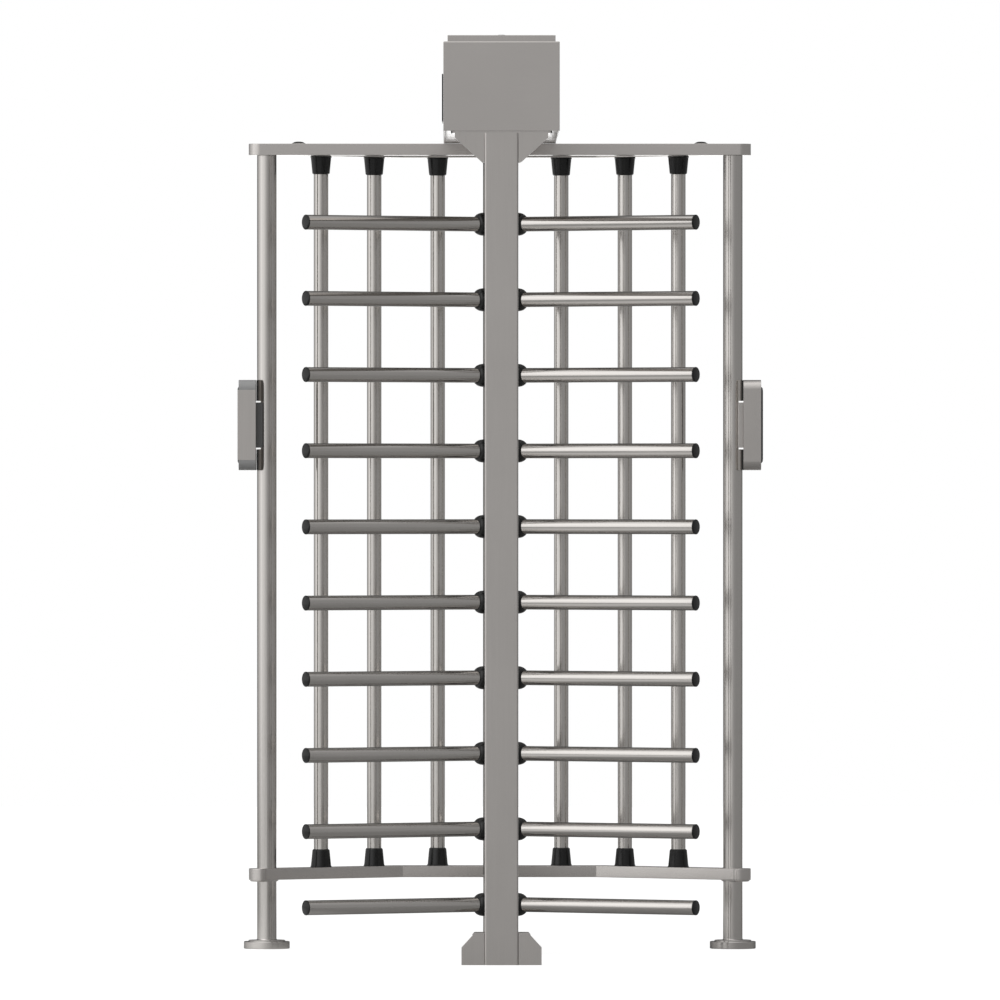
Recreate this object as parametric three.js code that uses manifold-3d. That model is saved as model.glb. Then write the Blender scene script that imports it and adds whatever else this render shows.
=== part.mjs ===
// Full height turnstile with a three winged rotor, in millimetres, +Z up.
// The origin is on the floor on the rotor's axis. +X points to the right and +Y to the rear
// for someone who faces the front post.
import * as THREE from "three";
import { mergeVertices } from "three/addons/utils/BufferGeometryUtils.js";
import Module from "manifold-3d";

const wasm = await Module();
wasm.setup();

// Clearances and overruns
const seatGap = 0.3; // between two pieces that rest on each other
const runningGap = 0.5; // round a turning shaft
const cutOverrun = 5; // how far a cut runs past the piece that it cuts
const mergeTolerance = 0.001;

// Facets
const barSides = 12;
const columnSides = 24;
const postSides = 20;
const tubeSides = 12;
const boltSides = 10;
const cornerSteps = 3;
const railEndSteps = 10;

// Rotor
const wingCount = 3;
const firstWingAngle = 90; // degrees from +X, the rear wing
const tierCount = 10;
const lowestTierHeight = 129.9;
const topTierDrop = 189.3; // from the top frame's underside down to the highest bars
const columnDiameter = 90;
const columnWall = 3;
const barDiameter = 38.1;
const barWall = 1.5;
const barReach = 577; // from the rotor's axis to the bar's cut end
const plugDome = 3;
const plugDepth = 12;
const plugRimShare = 0.78; // radius at which the plug's dome turns over, of the bar's radius
const plugRimRiseShare = 0.6;
const collarDiameter = 60;
const collarReach = 72; // from the rotor's axis to the collar's outer end
const collarShoulder = 52; // from the rotor's axis to where the collar begins to close
const collarWaistRadiusShare = 0.88;
const collarWaistShare = 0.62;

// Floor pivot under the column
const pivotFlangeDiameter = 150;
const pivotFlangeHeight = 12;
const pivotShoulderHeight = 42;
const pivotSpigotLength = 55;
const pivotNeckShare = 1.18; // neck radius, of the column's radius

// Side posts and their floor flanges
const sidePostX = 610;
const sidePostDiameter = 50.8;
const sidePostWall = 2;
const flangeDiameter = 120;
const flangeHeight = 19;
const flangeStepDiameter = 96;
const flangeStepHeight = 3.5;

// Rails: a straight front beam and a bow of three straight runs behind the rotor
const railWidth = 60;
const railHeight = 30;
const railWall = 2.5;
const frontBeamY = 410; // from the rotor's axis back to the centre line of the front beam
const railEndBeyondPost = 17; // along X, from the side post's axis to the centre of the rail's round end
const bowDepth = 252; // from the rails' round ends back to the bow's rear run
const bowBendX = 264;
const topFrameUnderside = 2076;
const lowerRailUnderside = 180;
const fixingHoleDiameter = 14;
const lugLength = 39;
const lugHeight = 4.3;
const lugInset = 3;

// Plugs on the front beam, each a steel boss with a low dome
const plugX = 526.5;
const plugBossDiameter = 39;
const plugBossTopDiameter = 31;
const plugBossHeight = 2.4;
const plugCapDiameter = 29.6;
const plugCapHeight = 3.7;
const plugCapShoulderShare = 0.7; // radius and height at which the dome turns over

// Fence tubes, each with a cup at both ends
const fenceTubeDiameter = 38.1;
const fenceTubeWall = 1.5;
const cupLength = 47;
const cupLipDiameter = 55.6;
const cupLipHeight = 4;
const cupWideDiameter = 52.4;
const cupNarrowDiameter = 44.6;
const cupChamfer = 3;
const rearTubeShare = 0.617; // place on the bow's rear run, of the way from its middle to its bend
const armTubeShares = [0.182, 0.565]; // places on the bow's arms, of the way from the bend to the end

// Front post
const frontPostReach = 745; // from the rotor's axis to the post's front face
const frontPostWidth = 85;
const frontPostWall = 3;
const frontPostCorner = 5;

// Shoe at the front post's foot
const shoeWidth = 202.5;
const shoeHeight = 81;
const shoeEdgeHeight = 43;
const shoeTopWidth = 132;
const shoeSetback = 4;
const shoeWeb = 10;
const shoeWall = 6;
const shoeBase = 8;
const anchorHoleDiameter = 14;

// Bracket that carries the head on the front post
const bracketEarWidth = 236;
const bracketEarEdge = 10;
const bracketEarDrop = 72;
const bracketEarFootWidth = 100;
const bracketPlateWidth = 256;
const bracketPlateDepth = 150;
const bracketPlateHeight = 5;
const cableHoleDiameter = 30;

// Head housing and its lid
const headWidth = 295;
const headHeight = 227.7;
const headWall = 2;
const headCorner = 3;
const headRim = 14;
const columnHoleGap = 3;
const lidInset = 11;
const lidHeight = 15.7;
const lidWall = 2;
const hingeKnuckleDiameter = 8;
const hingePinDiameter = 4;
const hingeLength = 200;
const hingeEarLength = 15;
const hingePinInsert = 20;

// Lid lock
const lockSetback = 45; // from the head's front face
const lockBodyDiameter = 14;
const lockHeadDiameter = 17;
const lockHeadHeight = 1.7;
const lockBodyLength = 19;
const lockTongueLength = 22;
const lockTongueWidth = 9;
const lockTongueHeight = 3;
const keySlotWidth = 1.6;
const keySlotLength = 8;
const keySlotDepth = 8;

// Direction panels on the head's sides
const panelLength = 200;
const panelHeight = 123;
const panelThickness = 3.4;
const panelLift = 43.7; // above the head's underside
const panelCorner = 8;

// Reader units on the side posts
const readerCentreHeight = 1370;
const readerHeight = 236;
const readerDepth = 120;
const readerThickness = 46.3;
const readerCorner = 24;
const readerCornerSteps = 6;
const readerPostGap = 1.3; // between the post's outer side and the housing
const screenHeight = 199;
const screenDepth = 84;
const screenThickness = 5;
const screenEdge = 6;
const screenCorner = 14;
const saddleWrap = 12.7; // how far the saddle reaches round the post, measured along X
const saddleDepth = 60;
const saddleStrip = 2.1;
const saddleSlotHeight = 4;
const saddleArmHeight = 54.5;
const backplateThickness = 4;
const backplateMargin = 8;

// Lock mechanism inside the head
const deckThickness = 8;
const deckHalfWidth = 120;
const deckFront = 190;
const deckRear = 110;
const bearingWall = 14;
const bearingHeight = 23.4;
const wheelLift = 6; // from the bearing's top to the column's top
const wheelDiameter = 150;
const wheelThickness = 14;
const wheelSpigotLength = 30;
const notchCount = 12;
const notchDepth = 13;
const notchFloorHalf = 7.5;
const notchMouthHalf = 11;
const pawlThickness = 12;
const pawlPinX = 70;
const pawlPinY = 80;
const pawlPinDiameter = 12;
const pawlBossDiameter = 26;
const pawlSwing = 10; // degrees from released to engaged
const pawlNoseGap = 2; // between the released nose and the wheel's rim
const pawlNoseLength = 14;
const pawlNoseHalf = 5.5;
const pawlNoseTipHalf = 3;
const pawlArmWidth = 14;
const pawlTailLength = 60;
const coilDiameter = 32;
const coilLength = 38;

// Sizes that follow from those above
const columnRadius = columnDiameter / 2;
const columnBore = columnRadius - columnWall;
const barRadius = barDiameter / 2;
const frameTop = topFrameUnderside + railHeight;
const tierPitch = (topFrameUnderside - topTierDrop - lowestTierHeight) / (tierCount - 1);
const railHalf = railWidth / 2;
const railEndX = sidePostX + railEndBeyondPost;
const bowRearY = frontBeamY + bowDepth;
const bowAngle = Math.atan2(-bowDepth, railEndX - bowBendX);
const sidePostY = frontBeamY + railEndBeyondPost * Math.tan(-bowAngle); // on the bow's centre line
const frontPostCentreY = -frontPostReach + frontPostWidth / 2;
const headUnderside = frameTop + seatGap;
const headTop = headUnderside + headHeight;
const headFrontY = -frontPostReach;
const headRearY = frontBeamY + railHalf;
const headLength = headRearY - headFrontY;
const headCentreY = (headRearY + headFrontY) / 2;
const lidUnderside = headTop + seatGap;
const lidTop = lidUnderside + lidHeight;
const hingeRadius = hingeKnuckleDiameter / 2;
const hingeY = headRearY - lidInset + hingeRadius + runningGap;
const hingeZ = lidUnderside + hingeRadius;
const deckUnderside = headUnderside + headWall + seatGap;
const deckTop = deckUnderside + deckThickness;
const columnTop = deckTop + bearingHeight + wheelLift;
const wheelUnderside = columnTop + seatGap;
const wheelRadius = wheelDiameter / 2;
const wheelMiddle = wheelUnderside + wheelThickness / 2;

// Finishes
const steel = () => new THREE.MeshStandardMaterial({ color: 0x98948f, roughness: 0.38, metalness: 0.9 });
const polishedTube = () => new THREE.MeshStandardMaterial({ color: 0xb4b0ab, roughness: 0.25, metalness: 1 });
const blackPlastic = () => new THREE.MeshStandardMaterial({ color: 0x262626, roughness: 0.5, metalness: 0 });
const darkScreen = () => new THREE.MeshStandardMaterial({ color: 0x303234, roughness: 0.2, metalness: 0 });
const zincPlate = () => new THREE.MeshStandardMaterial({ color: 0xa9aba6, roughness: 0.5, metalness: 0.8 });
const hardSteel = () => new THREE.MeshStandardMaterial({ color: 0x6e6f70, roughness: 0.4, metalness: 0.9 });

const turnstile = new THREE.Group();

// A geometry as a solid that can be joined and cut, with shared corners merged
function solid(geometry) {
  const bare = geometry.clone();
  bare.deleteAttribute("normal");
  bare.deleteAttribute("uv");
  const merged = mergeVertices(bare, mergeTolerance);
  const corners = merged.index.array;
  const triangles = [];
  for (let i = 0; i < corners.length; i += 3) {
    const [a, b, c] = [corners[i], corners[i + 1], corners[i + 2]];
    if (a !== b && b !== c && c !== a) triangles.push(a, b, c);
  }
  return new wasm.Manifold(
    new wasm.Mesh({
      numProp: 3,
      vertProperties: new Float32Array(merged.attributes.position.array),
      triVerts: new Uint32Array(triangles),
    }),
  );
}

// A solid turned back into a geometry
function geometryOf(body) {
  const { vertProperties, triVerts } = body.getMesh();
  const geometry = new THREE.BufferGeometry();
  geometry.setAttribute("position", new THREE.BufferAttribute(new Float32Array(vertProperties), 3));
  geometry.setIndex(new THREE.BufferAttribute(new Uint32Array(triVerts), 1));
  geometry.computeVertexNormals();
  return geometry;
}

// A profile of [radius, height] points, its outside drawn upwards, turned about the Z axis
function revolve(profile, sides) {
  const points = profile.map(([radius, height]) => new THREE.Vector2(radius, height));
  if (profile[0][0] > 0) points.push(points[0].clone());
  return new THREE.LatheGeometry(points, sides).rotateX(Math.PI / 2);
}

// A cylinder that stands on Z = low and ends at Z = high
function pillar(radius, low, high, sides, x = 0, y = 0) {
  return revolve([[0, low], [radius, low], [radius, high], [0, high]], sides).translate(x, y, 0);
}

// A plan outline raised from Z = low to Z = high
function raise(shape, low, high, steps = cornerSteps) {
  const depth = high - low;
  return new THREE.ExtrudeGeometry(shape, { depth, bevelEnabled: false, curveSegments: steps }).translate(0, 0, low);
}

// An elevation outline drawn in X and Z, given depth from Y = front to Y = rear
function alongY(shape, front, rear) {
  const geometry = new THREE.ExtrudeGeometry(shape, { depth: rear - front, bevelEnabled: false });
  const turn = new THREE.Matrix4().makeBasis(
    new THREE.Vector3(1, 0, 0),
    new THREE.Vector3(0, 0, 1),
    new THREE.Vector3(0, -1, 0),
  );
  return geometry.applyMatrix4(turn).translate(0, rear, 0);
}

// Turns an extrusion that was drawn in (Y, Z) and raised along Z so that it is raised along +X
function intoX(geometry) {
  return geometry.applyMatrix4(
    new THREE.Matrix4().makeBasis(
      new THREE.Vector3(0, 1, 0),
      new THREE.Vector3(0, 0, 1),
      new THREE.Vector3(1, 0, 0),
    ),
  );
}

// A box given by its two corners
function block([x0, y0, z0], [x1, y1, z1]) {
  return new THREE.BoxGeometry(x1 - x0, y1 - y0, z1 - z0).translate((x0 + x1) / 2, (y0 + y1) / 2, (z0 + z1) / 2);
}

function polygon(points) {
  return new THREE.Shape(points.map(([x, y]) => new THREE.Vector2(x, y)));
}

// A rectangle with round corners, centred on (x, y)
function roundedRectangle(width, height, radius, x = 0, y = 0) {
  const [halfWidth, halfHeight] = [width / 2, height / 2];
  const shape = new THREE.Shape();
  shape.absarc(x + halfWidth - radius, y - halfHeight + radius, radius, -Math.PI / 2, 0);
  shape.absarc(x + halfWidth - radius, y + halfHeight - radius, radius, 0, Math.PI / 2);
  shape.absarc(x - halfWidth + radius, y + halfHeight - radius, radius, Math.PI / 2, Math.PI);
  shape.absarc(x - halfWidth + radius, y - halfHeight + radius, radius, Math.PI, Math.PI * 1.5);
  return shape;
}

function add(name, body, material, parent = turnstile) {
  const geometry = body instanceof THREE.BufferGeometry ? geometryOf(solid(body)) : geometryOf(body);
  const mesh = new THREE.Mesh(geometry, material);
  mesh.name = name;
  parent.add(mesh);
  return mesh;
}

// Rotor column, a tube that runs from the floor pivot up into the head
const column = [
  [columnBore, pivotShoulderHeight + seatGap],
  [columnRadius, pivotShoulderHeight + seatGap],
  [columnRadius, columnTop],
  [columnBore, columnTop],
];
add("rotor_column", revolve(column, columnSides), steel());

// Floor pivot: a flange, a conical neck and the spigot that the column turns on
const spigotRadius = columnBore - runningGap;
const spigotTop = pivotShoulderHeight + pivotSpigotLength;
const pivot = [
  [0, 0],
  [pivotFlangeDiameter / 2, 0],
  [pivotFlangeDiameter / 2, pivotFlangeHeight],
  [columnRadius * pivotNeckShare, pivotFlangeHeight],
  [columnRadius, pivotShoulderHeight],
  [spigotRadius, pivotShoulderHeight],
  [spigotRadius, spigotTop],
  [0, spigotTop],
];
add("floor_pivot", revolve(pivot, columnSides), steel());

// One bar, lying along +X from the rotor's axis: a tube with its end plug and the round collar
// that seats it, hollowed to fit the column
function barBody() {
  const bore = barRadius - barWall;
  const collarRadius = collarDiameter / 2;
  const profile = [
    [bore, 0],
    [collarRadius, 0],
    [collarRadius, collarShoulder],
    [collarRadius * collarWaistRadiusShare, THREE.MathUtils.lerp(collarShoulder, collarReach, collarWaistShare)],
    [barRadius, collarReach],
    [barRadius, barReach],
    [barRadius * plugRimShare, barReach + plugDome * plugRimRiseShare],
    [0, barReach + plugDome],
    [0, barReach - plugDepth],
    [bore, barReach - plugDepth],
  ];
  const whole = solid(revolve(profile, barSides).rotateY(Math.PI / 2));
  const reach = collarRadius + cutOverrun;
  return whole.subtract(solid(pillar(columnRadius + seatGap, -reach, reach, columnSides)));
}

const barShape = geometryOf(barBody());
const wingNames = ["rear", "left", "right"];
for (let wing = 0; wing < wingCount; wing += 1) {
  const wingGroup = new THREE.Group();
  wingGroup.rotation.z = THREE.MathUtils.degToRad(firstWingAngle + (wing * 360) / wingCount);
  for (let tier = 0; tier < tierCount; tier += 1) {
    const bar = new THREE.Mesh(barShape, polishedTube());
    bar.name = `${wingNames[wing]}_wing_bar_${String(tier + 1).padStart(2, "0")}`;
    bar.position.z = lowestTierHeight + tier * tierPitch;
    wingGroup.add(bar);
  }
  turnstile.add(wingGroup);
}

// Index wheel, seated in the column's top, with a notch every 30 degrees
const wheelPoints = [];
for (let notch = 0; notch < notchCount; notch += 1) {
  const middle = (notch * 2 * Math.PI) / notchCount;
  const floorRadius = wheelRadius - notchDepth;
  for (const [half, radius] of [
    [-notchMouthHalf, wheelRadius],
    [-notchFloorHalf, floorRadius],
    [notchFloorHalf, floorRadius],
    [notchMouthHalf, wheelRadius],
  ]) {
    const angle = middle + Math.asin(half / radius);
    wheelPoints.push([radius * Math.cos(angle), radius * Math.sin(angle)]);
  }
}
const wheelDisc = solid(raise(polygon(wheelPoints), wheelUnderside, wheelUnderside + wheelThickness));
const wheelSpigot = pillar(spigotRadius, columnTop - wheelSpigotLength, wheelMiddle, columnSides);
add("index_wheel", wheelDisc.add(solid(wheelSpigot)), hardSteel());

// Side posts, each a tube welded into a stepped floor flange
const sidePostRadius = sidePostDiameter / 2;
const flangeTop = flangeHeight + flangeStepHeight;
const sidePost = [
  [0, 0],
  [flangeDiameter / 2, 0],
  [flangeDiameter / 2, flangeHeight],
  [flangeStepDiameter / 2, flangeHeight],
  [flangeStepDiameter / 2, flangeTop],
  [sidePostRadius, flangeTop],
  [sidePostRadius, topFrameUnderside - seatGap],
  [sidePostRadius - sidePostWall, topFrameUnderside - seatGap],
  [sidePostRadius - sidePostWall, flangeHeight],
  [0, flangeHeight],
];
for (const [name, side] of [["left", -1], ["right", 1]]) {
  add(`${name}_side_post`, revolve(sidePost, postSides), polishedTube()).position.set(side * sidePostX, sidePostY, 0);
}

// Corner of the bow, half a rail's width to its outer (+1) or inner (-1) side
function bowCorner(half, outward) {
  return [bowBendX + outward * half * Math.tan(-bowAngle / 2), bowRearY + outward * half];
}

// Plan of the bow alone: three straight runs of the given half width, with round ends
function bowOutline(half) {
  const [outerX, outerY] = bowCorner(half, 1);
  const [innerX, innerY] = bowCorner(half, -1);
  const [outerTurn, innerTurn] = [Math.PI / 2 + bowAngle, -Math.PI / 2 + bowAngle];
  const shape = new THREE.Shape();
  shape.moveTo(-outerX, outerY);
  shape.lineTo(outerX, outerY);
  shape.absarc(railEndX, frontBeamY, half, outerTurn, innerTurn, true);
  shape.lineTo(innerX, innerY);
  shape.lineTo(-innerX, innerY);
  shape.absarc(-railEndX, frontBeamY, half, Math.PI - innerTurn, Math.PI - outerTurn, true);
  return shape;
}

// Plan of the closed top frame: the same bow with a straight beam between its ends
function frameOutline(half) {
  const [outerX, outerY] = bowCorner(half, 1);
  const [innerX, innerY] = bowCorner(half, -1);
  const outerTurn = Math.PI / 2 + bowAngle;
  const beamRear = frontBeamY + half;
  const openX = innerX + (innerY - beamRear) / Math.tan(-bowAngle);
  const shape = new THREE.Shape();
  shape.absarc(railEndX, frontBeamY, half, -Math.PI / 2, outerTurn);
  shape.lineTo(outerX, outerY);
  shape.lineTo(-outerX, outerY);
  shape.absarc(-railEndX, frontBeamY, half, Math.PI - outerTurn, Math.PI * 1.5);
  const opening = [[-openX, beamRear], [-innerX, innerY], [innerX, innerY], [openX, beamRear]];
  shape.holes.push(new THREE.Path(opening.map(([x, y]) => new THREE.Vector2(x, y))));
  return shape;
}

// A rail as a rectangular tube: its outline raised, less the same outline one wall smaller
function railTube(outline, low) {
  const skin = solid(raise(outline(railHalf), low, low + railHeight, railEndSteps));
  const core = raise(outline(railHalf - railWall), low + railWall, low + railHeight - railWall, railEndSteps);
  return skin.subtract(solid(core));
}

// Top frame, with a fixing hole over each side post and two plugs on the front beam
let topFrame = railTube(frameOutline, topFrameUnderside);
const bossTop = frameTop + plugBossHeight;
const plugProfile = [
  [0, frameTop - railWall / 2],
  [plugBossDiameter / 2, frameTop - railWall / 2],
  [plugBossDiameter / 2, frameTop],
  [plugBossTopDiameter / 2, bossTop],
  [plugCapDiameter / 2, bossTop],
  [(plugCapDiameter / 2) * plugCapShoulderShare, bossTop + plugCapHeight * plugCapShoulderShare],
  [0, bossTop + plugCapHeight],
];
for (const side of [-1, 1]) {
  const [low, high] = [topFrameUnderside - cutOverrun, topFrameUnderside + railHeight / 2];
  const hole = pillar(fixingHoleDiameter / 2, low, high, boltSides, side * sidePostX, sidePostY);
  const plug = revolve(plugProfile, barSides).translate(side * plugX, frontBeamY, 0);
  topFrame = topFrame.subtract(solid(hole)).add(solid(plug));
}
add("top_frame", topFrame, steel());

// Lower rail, bored for the side posts, with a thin lug welded under each end
let lowerRail = railTube(bowOutline, lowerRailUnderside);
for (const side of [-1, 1]) {
  const lugHalf = railHalf - lugInset;
  const lugShape = new THREE.Shape();
  lugShape.absarc(0, 0, lugHalf, -Math.PI / 2, Math.PI / 2);
  lugShape.lineTo(-lugLength, lugHalf);
  lugShape.lineTo(-lugLength, -lugHalf);
  const lug = raise(lugShape, lowerRailUnderside - lugHeight, lowerRailUnderside + railWall / 2, cornerSteps * 2);
  lug.rotateZ(side > 0 ? bowAngle : Math.PI - bowAngle).translate(side * railEndX, frontBeamY, 0);
  lowerRail = lowerRail.add(solid(lug));
}
for (const side of [-1, 1]) {
  const low = lowerRailUnderside - lugHeight - cutOverrun;
  const high = lowerRailUnderside + railHeight + cutOverrun;
  const bore = pillar(sidePostRadius + runningGap, low, high, postSides, side * sidePostX, sidePostY);
  lowerRail = lowerRail.subtract(solid(bore));
}
add("lower_rail", lowerRail, steel());

// Fence tubes stand between the two rails, a flared cup at each end
const fenceLow = lowerRailUnderside + railHeight + seatGap;
const fenceHigh = topFrameUnderside - seatGap;
const fenceRadius = fenceTubeDiameter / 2;
const fenceTube = [
  [fenceRadius - fenceTubeWall, fenceLow],
  [cupLipDiameter / 2, fenceLow],
  [cupWideDiameter / 2, fenceLow + cupLipHeight],
  [cupNarrowDiameter / 2, fenceLow + cupLength - cupChamfer],
  [fenceRadius, fenceLow + cupLength],
  [fenceRadius, fenceHigh - cupLength],
  [cupNarrowDiameter / 2, fenceHigh - cupLength + cupChamfer],
  [cupWideDiameter / 2, fenceHigh - cupLipHeight],
  [cupLipDiameter / 2, fenceHigh],
  [fenceRadius - fenceTubeWall, fenceHigh],
];
const rearTubePlace = [bowBendX * rearTubeShare, bowRearY];
const armTubePlaces = armTubeShares.map((share) => [
  THREE.MathUtils.lerp(bowBendX, railEndX, share),
  THREE.MathUtils.lerp(bowRearY, frontBeamY, share),
]);
for (const [name, side] of [["left", -1], ["right", 1]]) {
  [rearTubePlace, ...armTubePlaces].forEach(([x, y], number) => {
    const tube = add(`${name}_fence_tube_${number + 1}`, revolve(fenceTube, tubeSides), polishedTube());
    tube.position.set(side * x, y, 0);
  });
}

// Front post, a square tube with rounded corners
const bracketUnderside = frameTop - bracketPlateHeight;
const postInside = frontPostWidth - 2 * frontPostWall;
const postShape = roundedRectangle(frontPostWidth, frontPostWidth, frontPostCorner, 0, frontPostCentreY);
const boreCorner = Math.max(frontPostCorner - frontPostWall, frontPostWall / 2);
const postBore = roundedRectangle(postInside, postInside, boreCorner, 0, frontPostCentreY);
const postTop = bracketUnderside - seatGap;
const frontPost = solid(raise(postShape, 0, postTop));
add("front_post", frontPost.subtract(solid(raise(postBore, -cutOverrun, postTop + cutOverrun))), steel());

// Two ears and the web that joins them behind the front post, drawn in elevation. Each ear is a
// front plate with a side along the post, and the pocket leaves its level flanges.
const slotHalf = frontPostWidth / 2 + seatGap;
const earFrontY = headFrontY + shoeSetback;
const slotRearY = headFrontY + frontPostWidth + seatGap;
const earRearY = slotRearY + shoeWeb;
function postEars(outline, pocket, low, high) {
  const whole = solid(alongY(polygon(outline), earFrontY, earRearY));
  const slot = block([-slotHalf, earFrontY - cutOverrun, low - cutOverrun], [slotHalf, slotRearY, high + cutOverrun]);
  let ears = whole.subtract(solid(slot));
  for (const side of [-1, 1]) {
    const points = pocket.map(([x, z]) => [side * x, z]);
    ears = ears.subtract(solid(alongY(polygon(points), earFrontY + shoeWall, earRearY + cutOverrun)));
  }
  return ears;
}

// Shoe round the front post's foot, bolted to the floor through a hole in each ear's base
const [shoeHalf, shoeTopHalf] = [shoeWidth / 2, shoeTopWidth / 2];
const shoeOutline = [
  [-shoeHalf, 0],
  [shoeHalf, 0],
  [shoeHalf, shoeEdgeHeight],
  [shoeTopHalf, shoeHeight],
  [-shoeTopHalf, shoeHeight],
  [-shoeHalf, shoeEdgeHeight],
];
const shoePocket = [
  [slotHalf + shoeWall, shoeBase],
  [shoeHalf + cutOverrun, shoeBase],
  [shoeHalf + cutOverrun, shoeHeight - shoeWall],
  [slotHalf + shoeWall, shoeHeight - shoeWall],
];
let shoe = postEars(shoeOutline, shoePocket, 0, shoeHeight);
for (const side of [-1, 1]) {
  const anchorX = (side * (slotHalf + shoeHalf)) / 2;
  const hole = pillar(anchorHoleDiameter / 2, -cutOverrun, shoeBase + cutOverrun, boltSides, anchorX, frontPostCentreY);
  shoe = shoe.subtract(solid(hole));
}
add("front_post_shoe", shoe, steel());

// Head bracket: a plate on the front post's top with an ear down each side of the post
const [earHalf, earFootHalf] = [bracketEarWidth / 2, bracketEarFootWidth / 2];
const earBottom = bracketUnderside - bracketEarDrop;
const bracketOutline = [
  [-earFootHalf, earBottom],
  [earFootHalf, earBottom],
  [earHalf, bracketUnderside - bracketEarEdge],
  [earHalf, bracketUnderside + bracketPlateHeight / 2],
  [-earHalf, bracketUnderside + bracketPlateHeight / 2],
  [-earHalf, bracketUnderside - bracketEarEdge],
];
const bracketPocket = [
  [slotHalf + shoeWall, bracketUnderside - shoeWall],
  [slotHalf + shoeWall, earBottom - cutOverrun],
  [earHalf + cutOverrun, earBottom - cutOverrun],
  [earHalf + cutOverrun, bracketUnderside - shoeWall],
];
const bracketEars = postEars(bracketOutline, bracketPocket, earBottom, bracketUnderside - cutOverrun);
const plateHalf = bracketPlateWidth / 2;
const plate = block(
  [-plateHalf, earFrontY, bracketUnderside],
  [plateHalf, earFrontY + bracketPlateDepth, frameTop],
);
const cableRadius = cableHoleDiameter / 2;
const plateHole = pillar(cableRadius, bracketUnderside - cutOverrun, frameTop + cutOverrun, boltSides, 0, frontPostCentreY);
add("head_bracket", bracketEars.add(solid(plate)).subtract(solid(plateHole)), steel());

// Head housing: a folded sheet tray with an inward rim, holes for the column and the cable, and
// the two ears and pins of the lid's hinge on its rear rim
const floorTop = headUnderside + headWall;
function headPlan(inset, corner) {
  return roundedRectangle(headWidth - 2 * inset, headLength - 2 * inset, corner, 0, headCentreY);
}
let head = solid(raise(headPlan(0, headCorner), headUnderside, headTop));
head = head.subtract(solid(raise(headPlan(headWall, headCorner - headWall / 2), floorTop, headTop - headWall)));
head = head.subtract(solid(raise(headPlan(headRim, headCorner), floorTop, headTop + cutOverrun)));
const columnHole = pillar(
  columnRadius + columnHoleGap,
  headUnderside - cutOverrun,
  floorTop + cutOverrun,
  columnSides,
);
const cableHole = pillar(cableRadius, headUnderside - cutOverrun, floorTop + cutOverrun, boltSides, 0, frontPostCentreY);
head = head.subtract(solid(columnHole)).subtract(solid(cableHole));

// A round bar along X, from one X to another, on the hinge's axis
function onHinge(radius, from, to) {
  return intoX(pillar(radius, from, to, boltSides, hingeY, hingeZ));
}
for (const side of [-1, 1]) {
  const earStart = hingeLength / 2 + runningGap;
  const earEnd = earStart + hingeEarLength;
  const [from, to] = side > 0 ? [earStart, earEnd] : [-earEnd, -earStart];
  const pinTip = earStart - runningGap - hingePinInsert;
  const [pinFrom, pinTo] = side > 0 ? [pinTip, earEnd] : [-earEnd, -pinTip];
  const foot = block([from, hingeY - hingeRadius / 2, headTop - headWall / 2], [to, hingeY + hingeRadius, hingeZ]);
  head = head.add(solid(onHinge(hingeRadius, from, to))).add(solid(foot));
  head = head.add(solid(onHinge(hingePinDiameter / 2, pinFrom, pinTo)));
}
add("head_housing", head, steel());

// Lid: a shallow tray upside down, with the hinge's long knuckle along its rear edge
let lid = solid(raise(headPlan(lidInset, headCorner), lidUnderside, lidTop));
const lidInner = raise(headPlan(lidInset + lidWall, headCorner / 2), lidUnderside - cutOverrun, lidTop - lidWall);
lid = lid.subtract(solid(lidInner));
const lidRearY = headRearY - lidInset;
const leaf = block(
  [-hingeLength / 2, lidRearY - lidWall, hingeZ - hingeRadius / 2],
  [hingeLength / 2, hingeY, hingeZ + hingeRadius / 2],
);
const knuckle = onHinge(hingeRadius, -hingeLength / 2, hingeLength / 2);
const pinRoom = hingeLength / 2 + cutOverrun;
lid = lid.add(solid(leaf)).add(solid(knuckle));
lid = lid.subtract(solid(onHinge(hingePinDiameter / 2 + runningGap, -pinRoom, pinRoom)));
const lockY = headFrontY + lockSetback;
const lockHole = pillar(
  lockBodyDiameter / 2 + runningGap,
  lidTop - lidWall - cutOverrun,
  lidTop + cutOverrun,
  boltSides,
  0,
  lockY,
);
add("head_lid", lid.subtract(solid(lockHole)), steel());

// Lid lock: a barrel with a key slot and the tongue that it turns
const lockLow = lidTop - lockBodyLength;
const lockProfile = [
  [0, lockLow],
  [lockBodyDiameter / 2, lockLow],
  [lockBodyDiameter / 2, lidTop + seatGap],
  [lockHeadDiameter / 2, lidTop + seatGap],
  [lockHeadDiameter / 2, lidTop + seatGap + lockHeadHeight / 2],
  [lockBodyDiameter / 2, lidTop + seatGap + lockHeadHeight],
  [0, lidTop + seatGap + lockHeadHeight],
];
const lockBarrel = solid(revolve(lockProfile, boltSides).translate(0, lockY, 0));
const tongue = block(
  [-lockTongueWidth / 2, lockY, lockLow],
  [lockTongueWidth / 2, lockY + lockTongueLength, lockLow + lockTongueHeight],
);
const keySlot = block(
  [-keySlotWidth / 2, lockY - keySlotLength / 2, lidTop - keySlotDepth],
  [keySlotWidth / 2, lockY + keySlotLength / 2, lidTop + cutOverrun],
);
add("lid_lock", lockBarrel.add(solid(tongue)).subtract(solid(keySlot)), hardSteel());

// Direction panels on the head's sides, centred over the rotor's axis
const panelMiddle = headUnderside + panelLift + panelHeight / 2;
const panelFace = headWidth / 2 + seatGap;
for (const [name, side] of [["left", -1], ["right", 1]]) {
  const from = side > 0 ? panelFace : -panelFace - panelThickness;
  const face = roundedRectangle(panelLength, panelHeight, panelCorner, 0, panelMiddle);
  add(`${name}_direction_panel`, intoX(raise(face, from, from + panelThickness)), darkScreen());
}

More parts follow.
